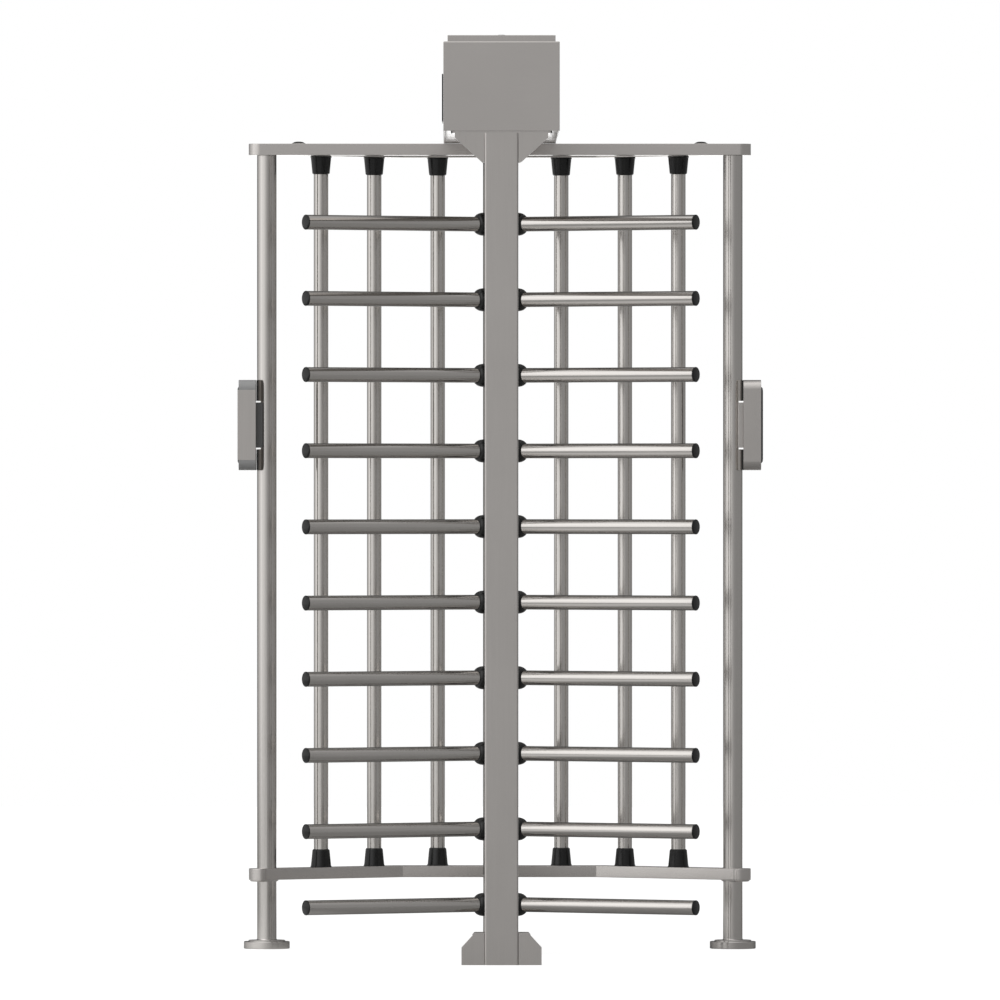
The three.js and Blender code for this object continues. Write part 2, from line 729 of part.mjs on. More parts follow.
// Reader units, drawn for the right post and mirrored for the left
const readerInner = sidePostX + sidePostRadius + readerPostGap;
const readerLow = readerCentreHeight - readerHeight / 2;
const readerHigh = readerCentreHeight + readerHeight / 2;
const plateLow = readerLow + backplateMargin;
const plateHigh = readerHigh - backplateMargin;
const saddleOuter = readerInner - seatGap;
const saddleInner = sidePostX + sidePostRadius - saddleWrap;
const saddleHalf = saddleDepth / 2;

// Saddle: a block that hugs the post's outer side, slotted into a middle and two arms, on a
// backplate that is let into the housing
function saddleBody() {
  let saddle = solid(
    block([saddleInner, sidePostY - saddleHalf, readerLow], [saddleOuter, sidePostY + saddleHalf, readerHigh]),
  );
  const post = pillar(
    sidePostRadius + seatGap,
    readerLow - cutOverrun,
    readerHigh + cutOverrun,
    postSides,
    sidePostX,
    sidePostY,
  );
  for (const slotLow of [readerLow + saddleArmHeight, readerHigh - saddleArmHeight - saddleSlotHeight]) {
    const slot = block(
      [saddleInner + saddleStrip, sidePostY - saddleHalf - cutOverrun, slotLow],
      [saddleOuter, sidePostY + saddleHalf + cutOverrun, slotLow + saddleSlotHeight],
    );
    saddle = saddle.subtract(solid(slot));
  }
  const backplate = block(
    [saddleOuter - seatGap, sidePostY - saddleHalf, plateLow],
    [saddleOuter + backplateThickness, sidePostY + saddleHalf, plateHigh],
  );
  return saddle.add(solid(backplate)).subtract(solid(post));
}

// Housing: a rounded slab with a pocket for the backplate
function readerBody() {
  const face = roundedRectangle(readerDepth, readerHeight, readerCorner, sidePostY, readerCentreHeight);
  const slab = solid(intoX(raise(face, readerInner, readerInner + readerThickness, readerCornerSteps)));
  const pocket = block(
    [readerInner - cutOverrun, sidePostY - saddleHalf - seatGap, plateLow - seatGap],
    [saddleOuter + backplateThickness + seatGap, sidePostY + saddleHalf + seatGap, plateHigh + seatGap],
  );
  return slab.subtract(solid(pocket));
}

// Screen: a slightly crowned plate on the housing's outer face
function screenBody() {
  const base = readerInner + readerThickness + seatGap;
  const inner = roundedRectangle(
    screenDepth - 2 * screenEdge,
    screenHeight - 2 * screenEdge,
    screenCorner - screenEdge,
    sidePostY,
    readerCentreHeight,
  );
  const crowned = new THREE.ExtrudeGeometry(inner, {
    depth: screenThickness / 4,
    bevelEnabled: true,
    bevelThickness: (screenThickness * 3) / 4,
    bevelSize: screenEdge,
    bevelSegments: 2,
    curveSegments: cornerSteps,
  });
  const whole = solid(intoX(crowned.translate(0, 0, base)));
  const behind = block(
    [base - screenThickness - cutOverrun, sidePostY - screenDepth, readerLow],
    [base, sidePostY + screenDepth, readerHigh],
  );
  return whole.subtract(solid(behind));
}
for (const [name, side] of [["left", -1], ["right", 1]]) {
  const place = (body) => (side > 0 ? body : body.mirror([1, 0, 0]));
  add(`${name}_reader_saddle`, place(saddleBody()), steel());
  add(`${name}_reader_housing`, place(readerBody()), steel());
  add(`${name}_reader_screen`, place(screenBody()), darkScreen());
}

// Mechanism deck on the head's floor: the column's upper bearing, the two pawl pins and the
// two holding magnets
const deckPlan = block([-deckHalfWidth, -deckFront, deckUnderside], [deckHalfWidth, deckRear, deckTop]);
let deck = solid(deckPlan);
const bearingBore = columnRadius + runningGap;
deck = deck.add(solid(pillar(bearingBore + bearingWall, deckUnderside, deckTop + bearingHeight, columnSides)));
const pawlLow = wheelMiddle - pawlThickness / 2;
const pawlHigh = wheelMiddle + pawlThickness / 2;
const pinRadius = pawlPinDiameter / 2;
const bossRadius = pawlBossDiameter / 2;

// The pawl's shape at rest, released. Its nose would touch the notch floor on the wheel's X axis
// halfway through the swing, so that it goes in and out nearly straight.
const noseTipX = wheelRadius + pawlNoseGap;
const armInnerX = noseTipX + pawlNoseLength;
const armOuterX = armInnerX + pawlArmWidth;
const tailEndY = -pawlPinY - pawlTailLength;
const tailInnerX = pawlPinX - pawlArmWidth / 2;
for (const side of [-1, 1]) {
  const [x, y] = [side * pawlPinX, -pawlPinY];
  deck = deck.add(solid(pillar(bossRadius, deckUnderside, pawlLow - seatGap, boltSides, x, y)));
  deck = deck.add(solid(pillar(pinRadius, deckUnderside, pawlHigh + seatGap, boltSides, x, y)));
  const coilFace = tailInnerX - seatGap;
  const [from, to] = side > 0 ? [coilFace - coilLength, coilFace] : [-coilFace, coilLength - coilFace];
  const coilY = tailEndY + coilDiameter / 2;
  const coil = intoX(pillar(coilDiameter / 2, from, to, boltSides, coilY, wheelMiddle));
  const inset = coilLength / 6;
  const foot = block(
    [from + inset, coilY - coilDiameter / 2, deckUnderside],
    [to - inset, coilY + coilDiameter / 2, wheelMiddle],
  );
  deck = deck.add(solid(coil)).add(solid(foot));
}
const bearingHole = pillar(bearingBore, deckUnderside - cutOverrun, columnTop, columnSides);
add("mechanism_deck", deck.subtract(solid(bearingHole)), zincPlate());

// Pawls: a lever with a boss round its pin, a nose for the wheel's notches and a tail at the magnet
const pawlPlan = [
  [tailInnerX, tailEndY],
  [tailInnerX + pawlArmWidth, tailEndY],
  [pawlPinX + bossRadius, -pawlPinY],
  [armOuterX, -pawlPinY / 2],
  [armOuterX, pawlArmWidth],
  [armInnerX, pawlArmWidth],
  [armInnerX, pawlNoseHalf],
  [noseTipX, pawlNoseTipHalf],
  [noseTipX, -pawlNoseHalf],
  [armInnerX, -pawlNoseHalf],
  [armInnerX, -pawlPinY / 2],
  [tailInnerX, -pawlPinY],
];
const lever = solid(raise(polygon(pawlPlan), pawlLow, pawlHigh));
const boss = pillar(bossRadius, pawlLow, pawlHigh, columnSides, pawlPinX, -pawlPinY);
const pinBore = pillar(
  pinRadius + runningGap,
  pawlLow - cutOverrun,
  pawlHigh + cutOverrun,
  boltSides,
  pawlPinX,
  -pawlPinY,
);
const pawl = lever.add(solid(boss)).subtract(solid(pinBore));
add("right_pawl", pawl, hardSteel());
add("left_pawl", pawl.mirror([1, 0, 0]), hardSteel());

export default turnstile;
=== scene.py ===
import math

import bmesh
import bpy
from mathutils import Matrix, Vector


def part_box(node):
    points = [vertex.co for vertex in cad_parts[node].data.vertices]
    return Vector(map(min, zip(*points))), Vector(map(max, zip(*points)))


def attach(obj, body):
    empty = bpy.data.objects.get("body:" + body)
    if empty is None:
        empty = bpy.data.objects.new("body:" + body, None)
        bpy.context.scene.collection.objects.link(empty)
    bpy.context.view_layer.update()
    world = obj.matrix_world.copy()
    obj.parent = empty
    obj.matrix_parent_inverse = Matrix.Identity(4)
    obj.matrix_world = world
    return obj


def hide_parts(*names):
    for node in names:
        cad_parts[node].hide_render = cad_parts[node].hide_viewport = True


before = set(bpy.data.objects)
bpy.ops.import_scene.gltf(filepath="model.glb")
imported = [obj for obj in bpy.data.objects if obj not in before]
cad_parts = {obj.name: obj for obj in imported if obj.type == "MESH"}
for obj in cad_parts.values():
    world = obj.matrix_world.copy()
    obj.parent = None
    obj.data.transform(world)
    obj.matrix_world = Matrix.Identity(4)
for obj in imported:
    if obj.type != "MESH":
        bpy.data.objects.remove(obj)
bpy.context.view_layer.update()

# Camera
# It stands far off and a little to the left of the front post, at chest height, behind a long
# lens that keeps the front and the rear of the turnstile at nearly one scale.
bpy.ops.object.camera_add(location=(-0.124, -32.745, 1.212))
camera = bpy.context.object
camera.name = "camera"
camera.rotation_euler = (math.radians(90 - 0.0656), 0, math.radians(-0.215))
camera.data.sensor_width = 36
camera.data.lens = 456.06
camera.data.clip_end = 100
bpy.context.scene.camera = camera
bpy.context.scene.view_settings.view_transform = "Standard"


class Shade:
    """One output in a shader tree. Sums, products and powers of it add their Math nodes."""

    def __init__(self, tree, socket=None):
        self.tree = tree
        self.socket = socket

    def node(self, kind, sockets=None, output=0, **settings):
        """Adds any other node: its settings, then the values or links of its sockets."""
        made = self.tree.nodes.new(kind)
        for setting, value in settings.items():
            setattr(made, setting, value)
        self.fill(made, sockets or {})
        return Shade(self.tree, made.outputs[output])

    def fill(self, node, sockets):
        """Sets each named socket of a node to a value, or links another shade to it."""
        for name, value in sockets.items():
            if isinstance(value, Shade):
                self.tree.links.new(value.socket, node.inputs[name])
            else:
                node.inputs[name].default_value = value

    def other(self, output):
        """Another output of the same node."""
        return Shade(self.tree, self.socket.node.outputs[output])

    def noise(self, scale, detail):
        """Noise over the place that this shade gives."""
        sockets = {"Vector": self, "Scale": scale, "Detail": detail}
        return self.node("ShaderNodeTexNoise", sockets, "Fac")

    def maths(self, operation, first, second=0.0):
        return self.node("ShaderNodeMath", {0: first, 1: second}, operation=operation)

    def __add__(self, other):
        return self.maths("ADD", self, other)

    def __sub__(self, other):
        return self.maths("SUBTRACT", self, other)

    def __rsub__(self, other):
        return self.maths("SUBTRACT", other, self)

    def __mul__(self, other):
        return self.maths("MULTIPLY", self, other)

    def __truediv__(self, other):
        return self.maths("DIVIDE", self, other)

    def __pow__(self, other):
        return self.maths("POWER", self, other)

    __radd__ = __add__
    __rmul__ = __mul__

    def at_least(self, other):
        return self.maths("MAXIMUM", self, other)

    def at_most(self, other):
        return self.maths("MINIMUM", self, other)

    def clamped(self):
        return self.at_least(0.0).at_most(1.0)


# Studio
# A grey room with soft boxes at the front left, overhead and low at the left, and a white wall
# behind the turnstile, on a pale floor. Where the camera looks past it, it sees only white.
WALL_TONE = 0.386
WHITE_WALL = 1.7
LEAST_LIGHT = 0.05
world = bpy.data.worlds.new("studio")
bpy.context.scene.world = world
world.use_nodes = True
room = Shade(world.node_tree)
toward = room.node("ShaderNodeTexCoord", output="Generated")


def soft_box(bearing, height, spread, strength):
    """A glow round one direction: degrees from straight ahead to the right, and upwards."""
    bearing, height = math.radians(bearing), math.radians(height)
    side = math.sin(bearing) * math.cos(height)
    middle = (side, -math.cos(bearing) * math.cos(height), math.sin(height))
    sockets = {0: toward, 1: middle}
    facing = toward.node("ShaderNodeVectorMath", sockets, "Value", operation="DOT_PRODUCT")
    return ((facing + 1) * 0.5).clamped() ** spread * strength


front_box = soft_box(-42, 31, 10.7, 1.5)
top_box = soft_box(-60, 84, 11.9, 1.1)
dark_corner = soft_box(-150, 43, 3.5, -0.27)
low_box = soft_box(-99, -20, 7.9, 0.75)
thin_box = soft_box(-70, -2, 110, 0.36)
walls = WALL_TONE + front_box + top_box + dark_corner + low_box + thin_box
to_rear = toward.node("ShaderNodeSeparateXYZ", {"Vector": toward}, "Y")
upward = to_rear.other("Z")
rear_wall = ((to_rear - 0.97) / 0.015).clamped() * (0.5 - upward * 30).clamped()
camera_ray = room.node("ShaderNodeLightPath", output="Is Camera Ray")
seen_white = camera_ray.at_least(camera_ray.other("Is Transmission Ray"))
shown = walls.at_least(rear_wall * WHITE_WALL).at_least(LEAST_LIGHT)
shown = shown * (1 - seen_white) + seen_white
room.fill(world.node_tree.nodes["Background"], {"Color": (1, 1, 1, 1), "Strength": shown})

bpy.ops.object.light_add(type="AREA", location=(-4.6, -4.2, 3.6))
key = bpy.context.object
key.name = "soft_light"
key.data.shape = "RECTANGLE"
key.data.size = 4.0
key.data.size_y = 3.2
key.data.energy = 30
key.rotation_euler = (Vector((0, 0, 1.15)) - key.location).to_track_quat("-Z", "Y").to_euler()
key.visible_glossy = False


def new_finish(name):
    """A new material, the place on the piece that its patterns follow, and its shader."""
    finish = bpy.data.materials.new(name)
    finish.use_nodes = True
    place = Shade(finish.node_tree).node("ShaderNodeTexCoord", output="Object")
    return finish, place, finish.node_tree.nodes["Principled BSDF"]


bpy.ops.mesh.primitive_plane_add(size=30)
floor = bpy.context.object
floor.name = "floor"
floor_finish, floor_place, floor_shader = new_finish("pale_floor")
floor.data.materials.append(floor_finish)
floor_view = floor_place.node("ShaderNodeLightPath", output="Is Camera Ray")
mirrored = floor_view.other("Is Glossy Ray")
through_glass = floor_view.other("Is Transmission Ray")
floor_back = floor_place.node("ShaderNodeSeparateXYZ", {"Vector": floor_place}, "Y")
floor_right = floor_back.other("X")
off_centre = floor_back.maths("ABSOLUTE", floor_right)
rear_width = (floor_back * 0.3 + 0.9 - off_centre) / 0.5
bright_rear = ((floor_back - 2.5) / 3).clamped() * rear_width.clamped()
bright_left = ((floor_right * -1 - 0.3) / 0.5).clamped() * ((floor_right + 3) / 1.5).clamped()
seen_in_steel = mirrored * (0.08 + bright_left * 0.4 + bright_rear * 1.3)
floor_glow = floor_view.at_least(through_glass) * 0.85 + seen_in_steel
floor_place.fill(
    floor_shader,
    {
        "Base Color": (0.27, 0.27, 0.265, 1),
        "Roughness": 0.45,
        "Emission Color": (1, 1, 1, 1),
        "Emission Strength": floor_glow,
    },
)

# Side posts
# Two round stainless steel tubes, each welded into a turned floor flange whose top carries a
# low ring. They are ground along their length and stand on the floor at the left and right.
POST_RADIUS = 0.0254
post_low, post_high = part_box("right_side_post")
POST_SPREAD = (post_low.x + post_high.x) / 2
POST_ROW = (post_low.y + post_high.y) / 2
POST_TOP = post_high.z


def trace(name, points):
    """Draws a line from point to point as a new piece, which stays in edit mode."""
    bpy.ops.object.select_all(action="DESELECT")
    bpy.ops.mesh.primitive_plane_add(size=0.01)
    piece = bpy.context.object
    piece.name = piece.data.name = name
    bpy.ops.object.mode_set(mode="EDIT")
    bpy.ops.mesh.select_mode(type="VERT")
    bpy.ops.mesh.merge(type="CENTER")
    bpy.ops.transform.translate(value=points[0])
    for start, end in zip(points, points[1:]):
        bpy.ops.mesh.extrude_vertices_move(TRANSFORM_OT_translate={"value": end - start})
    return piece


def turned(name, outline, sides):
    """Turns an outline of (radius, height) points about the Z axis, as on a lathe."""
    piece = trace(name, [Vector((radius, 0, height)) for radius, height in outline])
    bpy.ops.mesh.select_all(action="SELECT")
    bpy.ops.mesh.spin(steps=sides, angle=math.tau, center=(0, 0, 0), axis=(0, 0, 1))
    bpy.ops.mesh.select_all(action="SELECT")
    bpy.ops.mesh.remove_doubles(threshold=0.00001)
    bpy.ops.mesh.normals_make_consistent(inside=False)
    bpy.ops.object.mode_set(mode="OBJECT")
    return piece


def take(piece):
    """Makes a piece the only one that is selected."""
    bpy.ops.object.select_all(action="DESELECT")
    piece.select_set(True)
    bpy.context.view_layer.objects.active = piece


def put(piece, where=(0, 0, 0), turn=(0, 0, 0)):
    """Turns a piece by degrees about the axes, moves it, and leaves its place in its mesh."""
    piece.location = where
    piece.rotation_euler = [math.radians(angle) for angle in turn]
    take(piece)
    bpy.ops.object.transform_apply(location=True, rotation=True, scale=True)
    return piece


def another(piece, name):
    """A copy of a piece, with its own mesh."""
    twin = piece.copy()
    twin.data = piece.data.copy()
    twin.name = twin.data.name = name
    bpy.context.collection.objects.link(twin)
    return twin


def fit(piece, body, slot, finish, *nodes):
    """Smooths a piece, gives it its finish and fixes it to a body in the place of CAD nodes."""
    take(piece)
    bpy.ops.object.shade_smooth_by_angle(angle=math.radians(32))
    flats = piece.modifiers.new("flats", "WEIGHTED_NORMAL")
    flats.keep_sharp = True
    bpy.ops.object.modifier_apply(modifier="flats")
    piece.data.materials.clear()
    piece.data.materials.append(finish)
    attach(piece, body)
    if nodes:
        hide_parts(*nodes)
    return piece


def ground_steel(name, tone, roughness, grain, line=0.02, cloud=0.02, rim=1.0):
    """Stainless steel with fine grinding lines. grain stretches them along one axis, and rim is
    how much light it gives back at a glancing angle."""
    finish, place, shader = new_finish(name)
    lines = place.node("ShaderNodeMapping", {"Vector": place, "Scale": grain}).noise(1.0, 4.0)
    patches = place.noise(5.0, 2.0)
    light = 1 + (lines - 0.5) * (4 * line) + (patches - 0.5) * (4 * cloud)
    sockets = {0: tone, "Scale": light}
    colour = place.node("ShaderNodeVectorMath", sockets, "Vector", operation="SCALE")
    bump = place.node("ShaderNodeBump", {"Height": lines, "Strength": 0.02, "Distance": 0.0003})
    place.fill(
        shader,
        {
            "Metallic": 1.0,
            "Specular Tint": (rim, rim, rim, 1),
            "Base Color": colour,
            "Roughness": roughness + (lines - 0.5) * 0.08 + (patches - 0.5) * 0.05,
            "Normal": bump,
        },
    )
    return finish


post_steel = ground_steel("post_steel", (0.55, 0.527, 0.505), 0.17, (500, 500, 6), rim=0.5)
post_outline = [
    (0, 0), (0.0588, 0), (0.06, 0.0012), (0.06, 0.0178), (0.0588, 0.019), (0.048, 0.019),
    (0.048, 0.0218), (0.0473, 0.0225), (0.0292, 0.0225), (0.0267, 0.0233),
    (POST_RADIUS, 0.026), (POST_RADIUS, POST_TOP), (0, POST_TOP),
]
left_post = turned("left_post", post_outline, 64)
right_post = another(left_post, "right_post")
put(left_post, (-POST_SPREAD, POST_ROW, 0))
put(right_post, (POST_SPREAD, POST_ROW, 0))
fit(left_post, "frame", "polished_tube", post_steel, "left_side_post")
fit(right_post, "frame", "polished_tube", post_steel, "right_side_post")

# Lower rail
# A bow of 60 by 30 steel tube in three straight runs with round ends, which the side posts pass
# through. A thin chamfered lug is welded under each end.
HANDS = ((-1, "left"), (1, "right"))
RAIL_HALF = 0.03
RAIL_THICK = 0.03
POST_HOLE = 0.0259
LUG_HALF = 0.027
LUG_REACH = 0.039
LUG_THICK = 0.0043
rail_low, rail_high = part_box("lower_rail")
RAIL_END = rail_high.x - RAIL_HALF
RAIL_ROW = rail_low.y + RAIL_HALF
RAIL_LOW = rail_high.z - RAIL_THICK
BOW_REAR = rail_high.y - RAIL_HALF
BOW_BEND = 0.264
BOW_ANGLE = math.atan2(BOW_REAR - RAIL_ROW, RAIL_END - BOW_BEND)


def extrude(rise):
    """Extrudes what is picked by one vector."""
    bpy.ops.mesh.extrude_region_move(TRANSFORM_OT_translate={"value": rise})


def drawn(name, outline, rise):
    """Draws a closed outline point by point, fills it and raises it by one vector."""
    piece = trace(name, [Vector(point) for point in outline])
    pick(piece, "verts", lambda vertex: vertex.index in (0, len(outline) - 1))
    bpy.ops.mesh.edge_face_add()
    bpy.ops.mesh.select_all(action="SELECT")
    bpy.ops.mesh.edge_face_add()
    extrude(rise)
    bpy.ops.mesh.select_all(action="SELECT")
    bpy.ops.mesh.normals_make_consistent(inside=False)
    bpy.ops.object.mode_set(mode="OBJECT")
    return piece


def pick(piece, kind, rule):
    """In edit mode, selects only the verts, edges or faces that a rule names by their place."""
    bpy.ops.mesh.select_all(action="DESELECT")
    bpy.ops.mesh.select_mode(type={"verts": "VERT", "edges": "EDGE", "faces": "FACE"}[kind])
    mesh = bmesh.from_edit_mesh(piece.data)
    mesh.verts.index_update()
    for item in getattr(mesh, kind):
        item.select_set(rule(item))
    mesh.select_flush_mode()
    bmesh.update_edit_mesh(piece.data)


def bend(piece, width, steps, share):
    """Rounds edges as a bent sheet or a dressed edge has them: share is how much of the width."""
    take(piece)
    bpy.ops.object.mode_set(mode="EDIT")
    mesh = bmesh.from_edit_mesh(piece.data)
    weights = mesh.edges.layers.float.get("bevel_weight_edge")
    if weights is None:
        weights = mesh.edges.layers.float.new("bevel_weight_edge")
    for edge in mesh.edges:
        edge[weights] = float(share(edge))
    bmesh.update_edit_mesh(piece.data)
    bpy.ops.object.mode_set(mode="OBJECT")
    rounding = piece.modifiers.new("bend", "BEVEL")
    rounding.limit_method = "WEIGHT"
    rounding.width = width
    rounding.segments = steps
    bpy.ops.object.modifier_apply(modifier="bend")


def way(edge):
    """The direction of an edge, with no sign."""
    run = edge.verts[1].co - edge.verts[0].co
    return Vector(map(abs, run.normalized()))


def level(edge):
    return way(edge).z < 0.01


def arc(x, y, z, radius, start, end, steps):
    """Points on a level arc, from one angle in degrees to another."""
    angles = [math.radians(start + (end - start) * step / steps) for step in range(steps + 1)]
    return [(x + radius * math.cos(a), y + radius * math.sin(a), z) for a in angles]


def cut(piece, tool):
    """Cuts a tool's shape out of a piece and throws the tool away."""
    take(piece)
    cutter = piece.modifiers.new("cut", "BOOLEAN")
    cutter.operation = "DIFFERENCE"
    cutter.solver = "EXACT"
    cutter.object = tool
    bpy.ops.object.modifier_apply(modifier="cut")
    bpy.data.objects.remove(tool)


def hole(radius, low, high, sides, where=(0, 0, 0)):
    """A round tool that reaches from one height to another."""
    outline = [(0, low), (radius, low), (radius, high), (0, high)]
    return put(turned("hole", outline, sides), where)


slant = math.degrees(BOW_ANGLE)
bend_shift = RAIL_HALF * math.tan(BOW_ANGLE / 2)
outer_bend = (BOW_BEND + bend_shift, BOW_REAR + RAIL_HALF)
inner_bend = (BOW_BEND - bend_shift, BOW_REAR - RAIL_HALF)
bow_plan = [
    (-outer_bend[0], outer_bend[1], RAIL_LOW),
    (outer_bend[0], outer_bend[1], RAIL_LOW),
    *arc(RAIL_END, RAIL_ROW, RAIL_LOW, RAIL_HALF, 90 - slant, -90 - slant, 24),
    (inner_bend[0], inner_bend[1], RAIL_LOW),
    (-inner_bend[0], inner_bend[1], RAIL_LOW),
    *arc(-RAIL_END, RAIL_ROW, RAIL_LOW, RAIL_HALF, 270 + slant, 90 + slant, 24),
]
rail_steel = ground_steel("rail_steel", (0.55, 0.525, 0.505), 0.24, (8, 8, 500))
lower_rail = drawn("lower_rail_tube", bow_plan, (0, 0, RAIL_THICK))
bend(lower_rail, 0.0014, 3, level)
for side in (-1, 1):
    cut(lower_rail, hole(POST_HOLE, 0.1, 0.3, 64, (side * POST_SPREAD, POST_ROW, 0)))
fit(lower_rail, "frame", "brushed_steel", rail_steel, "lower_rail")
for side, hand in HANDS:
    lug_low = RAIL_LOW - LUG_THICK
    lug_plan = [
        *arc(0, 0, lug_low, LUG_HALF, -90, 90, 12),
        (-LUG_REACH, LUG_HALF, lug_low),
        (-LUG_REACH, -LUG_HALF, lug_low),
    ]
    lug = drawn(f"{hand}_rail_lug", lug_plan, (0, 0, LUG_THICK))
    bend(lug, 0.0028, 1, lambda edge: level(edge) and edge.verts[0].co.z < RAIL_LOW - 0.002)
    put(lug, (side * RAIL_END, RAIL_ROW, 0), (0, 0, -slant if side > 0 else 180 + slant))
    cut(lug, hole(POST_HOLE, 0.1, 0.3, 64, (side * POST_SPREAD, POST_ROW, 0)))
    fit(lug, "frame", "brushed_steel", rail_steel, "lower_rail")

# Fence tubes
# Six polished round tubes between the two rails, behind the rotor. Both ends of each tube stand
# in a moulded black cup that flares towards the rail and closes with a chamfer on the tube.
TUBE_RADIUS = 0.01905
CUP_BORE = 0.0191
CUP_HIGH = 0.047
fence_low, fence_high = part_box("right_fence_tube_1")
FENCE_LOW = fence_low.z
FENCE_HIGH = fence_high.z
black_plastic, plastic_place, plastic_shader = new_finish("black_plastic")
pores = plastic_place.noise(900.0, 2.0)
scuffs = plastic_place.noise(22.0, 5.0)
plastic_tone = plastic_place.node(
    "ShaderNodeMix",
    {"Factor": scuffs, "A": (0.007, 0.0073, 0.0073, 1), "B": (0.012, 0.0123, 0.0123, 1)},
    "Result",
    data_type="RGBA",
)
pore_sockets = {"Height": pores, "Strength": 0.12, "Distance": 0.0002}
plastic_place.fill(
    plastic_shader,
    {
        "Base Color": plastic_tone,
        "Specular IOR Level": 0.34,
        "Roughness": 0.21 + (scuffs - 0.5) * 0.12,
        "Normal": plastic_place.node("ShaderNodeBump", pore_sockets),
    },
)

tube_steel = ground_steel("tube_steel", (0.575, 0.552, 0.528), 0.16, (500, 500, 6), rim=0.75)
tube_outline = [
    (0, FENCE_LOW), (TUBE_RADIUS, FENCE_LOW), (TUBE_RADIUS, FENCE_HIGH), (0, FENCE_HIGH),
]
cup_outline = [
    (CUP_BORE, 0), (0.0278, 0), (0.0278, 0.0026), (0.0275, 0.003), (0.0267, 0.0034),
    (0.0266, 0.0042), (0.0228, 0.0438), (0.0225, 0.0446), (0.0203, 0.0466),
    (0.0196, CUP_HIGH), (CUP_BORE, CUP_HIGH), (CUP_BORE, 0),
]
first_tube = turned("fence_tube", tube_outline, 48)
first_cup = turned("tube_cup", cup_outline, 48)
for hand in ("left", "right"):
    for number in (1, 2, 3):
        node = f"{hand}_fence_tube_{number}"
        low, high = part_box(node)
        across, back = (low.x + high.x) / 2, (low.y + high.y) / 2
        tube = put(another(first_tube, f"{hand}_tube_{number}"), (across, back, 0))
        fit(tube, "frame", "polished_tube", tube_steel, node)
        low_cup = another(first_cup, f"{hand}_low_cup_{number}")
        put(low_cup, (across, back, FENCE_LOW))
        high_cup = another(first_cup, f"{hand}_high_cup_{number}")
        put(high_cup, (across, back, FENCE_HIGH), (180, 0, 0))
        for cup in (low_cup, high_cup):
            fit(cup, "frame", "black_plastic", black_plastic, node)
for pattern in (first_tube, first_cup):
    bpy.data.objects.remove(pattern)

# Top frame
# The same tube bent into a closed loop: a straight front beam and the bow behind it. Two steel
# bosses with black domed plugs stand on the front beam.
TOP_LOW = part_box("top_frame")[0].z
TOP_HIGH = TOP_LOW + RAIL_THICK
PLUG_ACROSS = 0.5265
BOSS_TOP = TOP_HIGH + 0.0024
DOME_FOOT = TOP_HIGH + 0.0022
beam_rear = RAIL_ROW + RAIL_HALF
open_half = inner_bend[0] + (inner_bend[1] - beam_rear) / math.tan(BOW_ANGLE)
frame_plan = [
    *arc(RAIL_END, RAIL_ROW, TOP_LOW, RAIL_HALF, -90, 90 - slant, 20),
    (outer_bend[0], outer_bend[1], TOP_LOW),
    (-outer_bend[0], outer_bend[1], TOP_LOW),
    *arc(-RAIL_END, RAIL_ROW, TOP_LOW, RAIL_HALF, 90 + slant, 270, 20),
]
top_frame = drawn("top_frame_tube", frame_plan, (0, 0, RAIL_THICK))
opening_low = TOP_LOW - 0.01
opening_plan = [
    (-open_half, beam_rear, opening_low),
    (-inner_bend[0], inner_bend[1], opening_low),
    (inner_bend[0], inner_bend[1], opening_low),
    (open_half, beam_rear, opening_low),
]
cut(top_frame, drawn("opening", opening_plan, (0, 0, 0.05)))
bend(top_frame, 0.001, 3, lambda edge: level(edge) and edge.calc_face_angle(0) > 1)
fit(top_frame, "frame", "brushed_steel", rail_steel, "top_frame")
boss_outline = [(0, TOP_HIGH), (0.0196, TOP_HIGH), (0.0156, BOSS_TOP), (0, BOSS_TOP)]
dome_outline = [
    (0, DOME_FOOT), (0.0148, DOME_FOOT), (0.0136, TOP_HIGH + 0.0036),
    (0.0102, TOP_HIGH + 0.005), (0.0056, TOP_HIGH + 0.0058), (0, TOP_HIGH + 0.0061),
]
for side, hand in HANDS:
    plug_at = (side * PLUG_ACROSS, RAIL_ROW, 0)
    boss = put(turned(f"{hand}_plug_boss", boss_outline, 40), plug_at)
    fit(boss, "frame", "brushed_steel", rail_steel, "top_frame")
    dome = put(turned(f"{hand}_plug_dome", dome_outline, 40), plug_at)
    fit(dome, "frame", "black_plastic", black_plastic, "top_frame")

# Front post
# A square steel tube with rolled corners, ground along its length. It stands on the centre line
# in front of the rotor, from the floor up to the bracket that carries the head.
POST_FRONT = -0.745
POST_WIDE = 0.085
FRONT_POST_TOP = 2.1027


def block(name, low, high):
    """A block between two corners, still sharp all round."""
    low, high = Vector(low), Vector(high)
    bpy.ops.object.select_all(action="DESELECT")
    bpy.ops.mesh.primitive_cube_add(size=1, location=(low + high) / 2, scale=high - low)
    piece = bpy.context.object
    piece.name = piece.data.name = name
    return put(piece, piece.location)


plate_steel = ground_steel("plate_steel", (0.505, 0.482, 0.463), 0.3, (500, 500, 8))
front_post = block(
    "front_post_tube",
    (-POST_WIDE / 2, POST_FRONT, 0),
    (POST_WIDE / 2, POST_FRONT + POST_WIDE, FRONT_POST_TOP),
)
bend(front_post, 0.0042, 6, lambda edge: way(edge).z > 0.9)
fit(front_post, "frame", "brushed_steel", plate_steel, "front_post")

# Post shoe
# A folded plate bracket round the post's foot, an ear on each side and a web behind, bolted to
# the floor inside both ears.
EAR_FRONT = POST_FRONT + 0.004
EAR_THICK = 0.006
SLOT_HALF = POST_WIDE / 2 + 0.0003
SLOT_REAR = POST_FRONT + POST_WIDE + 0.0003
EAR_REAR = SLOT_REAR + 0.01
SHOE_HALF = 0.10125
SHOE_TOP = 0.0813
SHOE_FLOOR = 0.008
ANCHOR_ACROSS = 0.072
ANCHOR_BACK = -0.7025


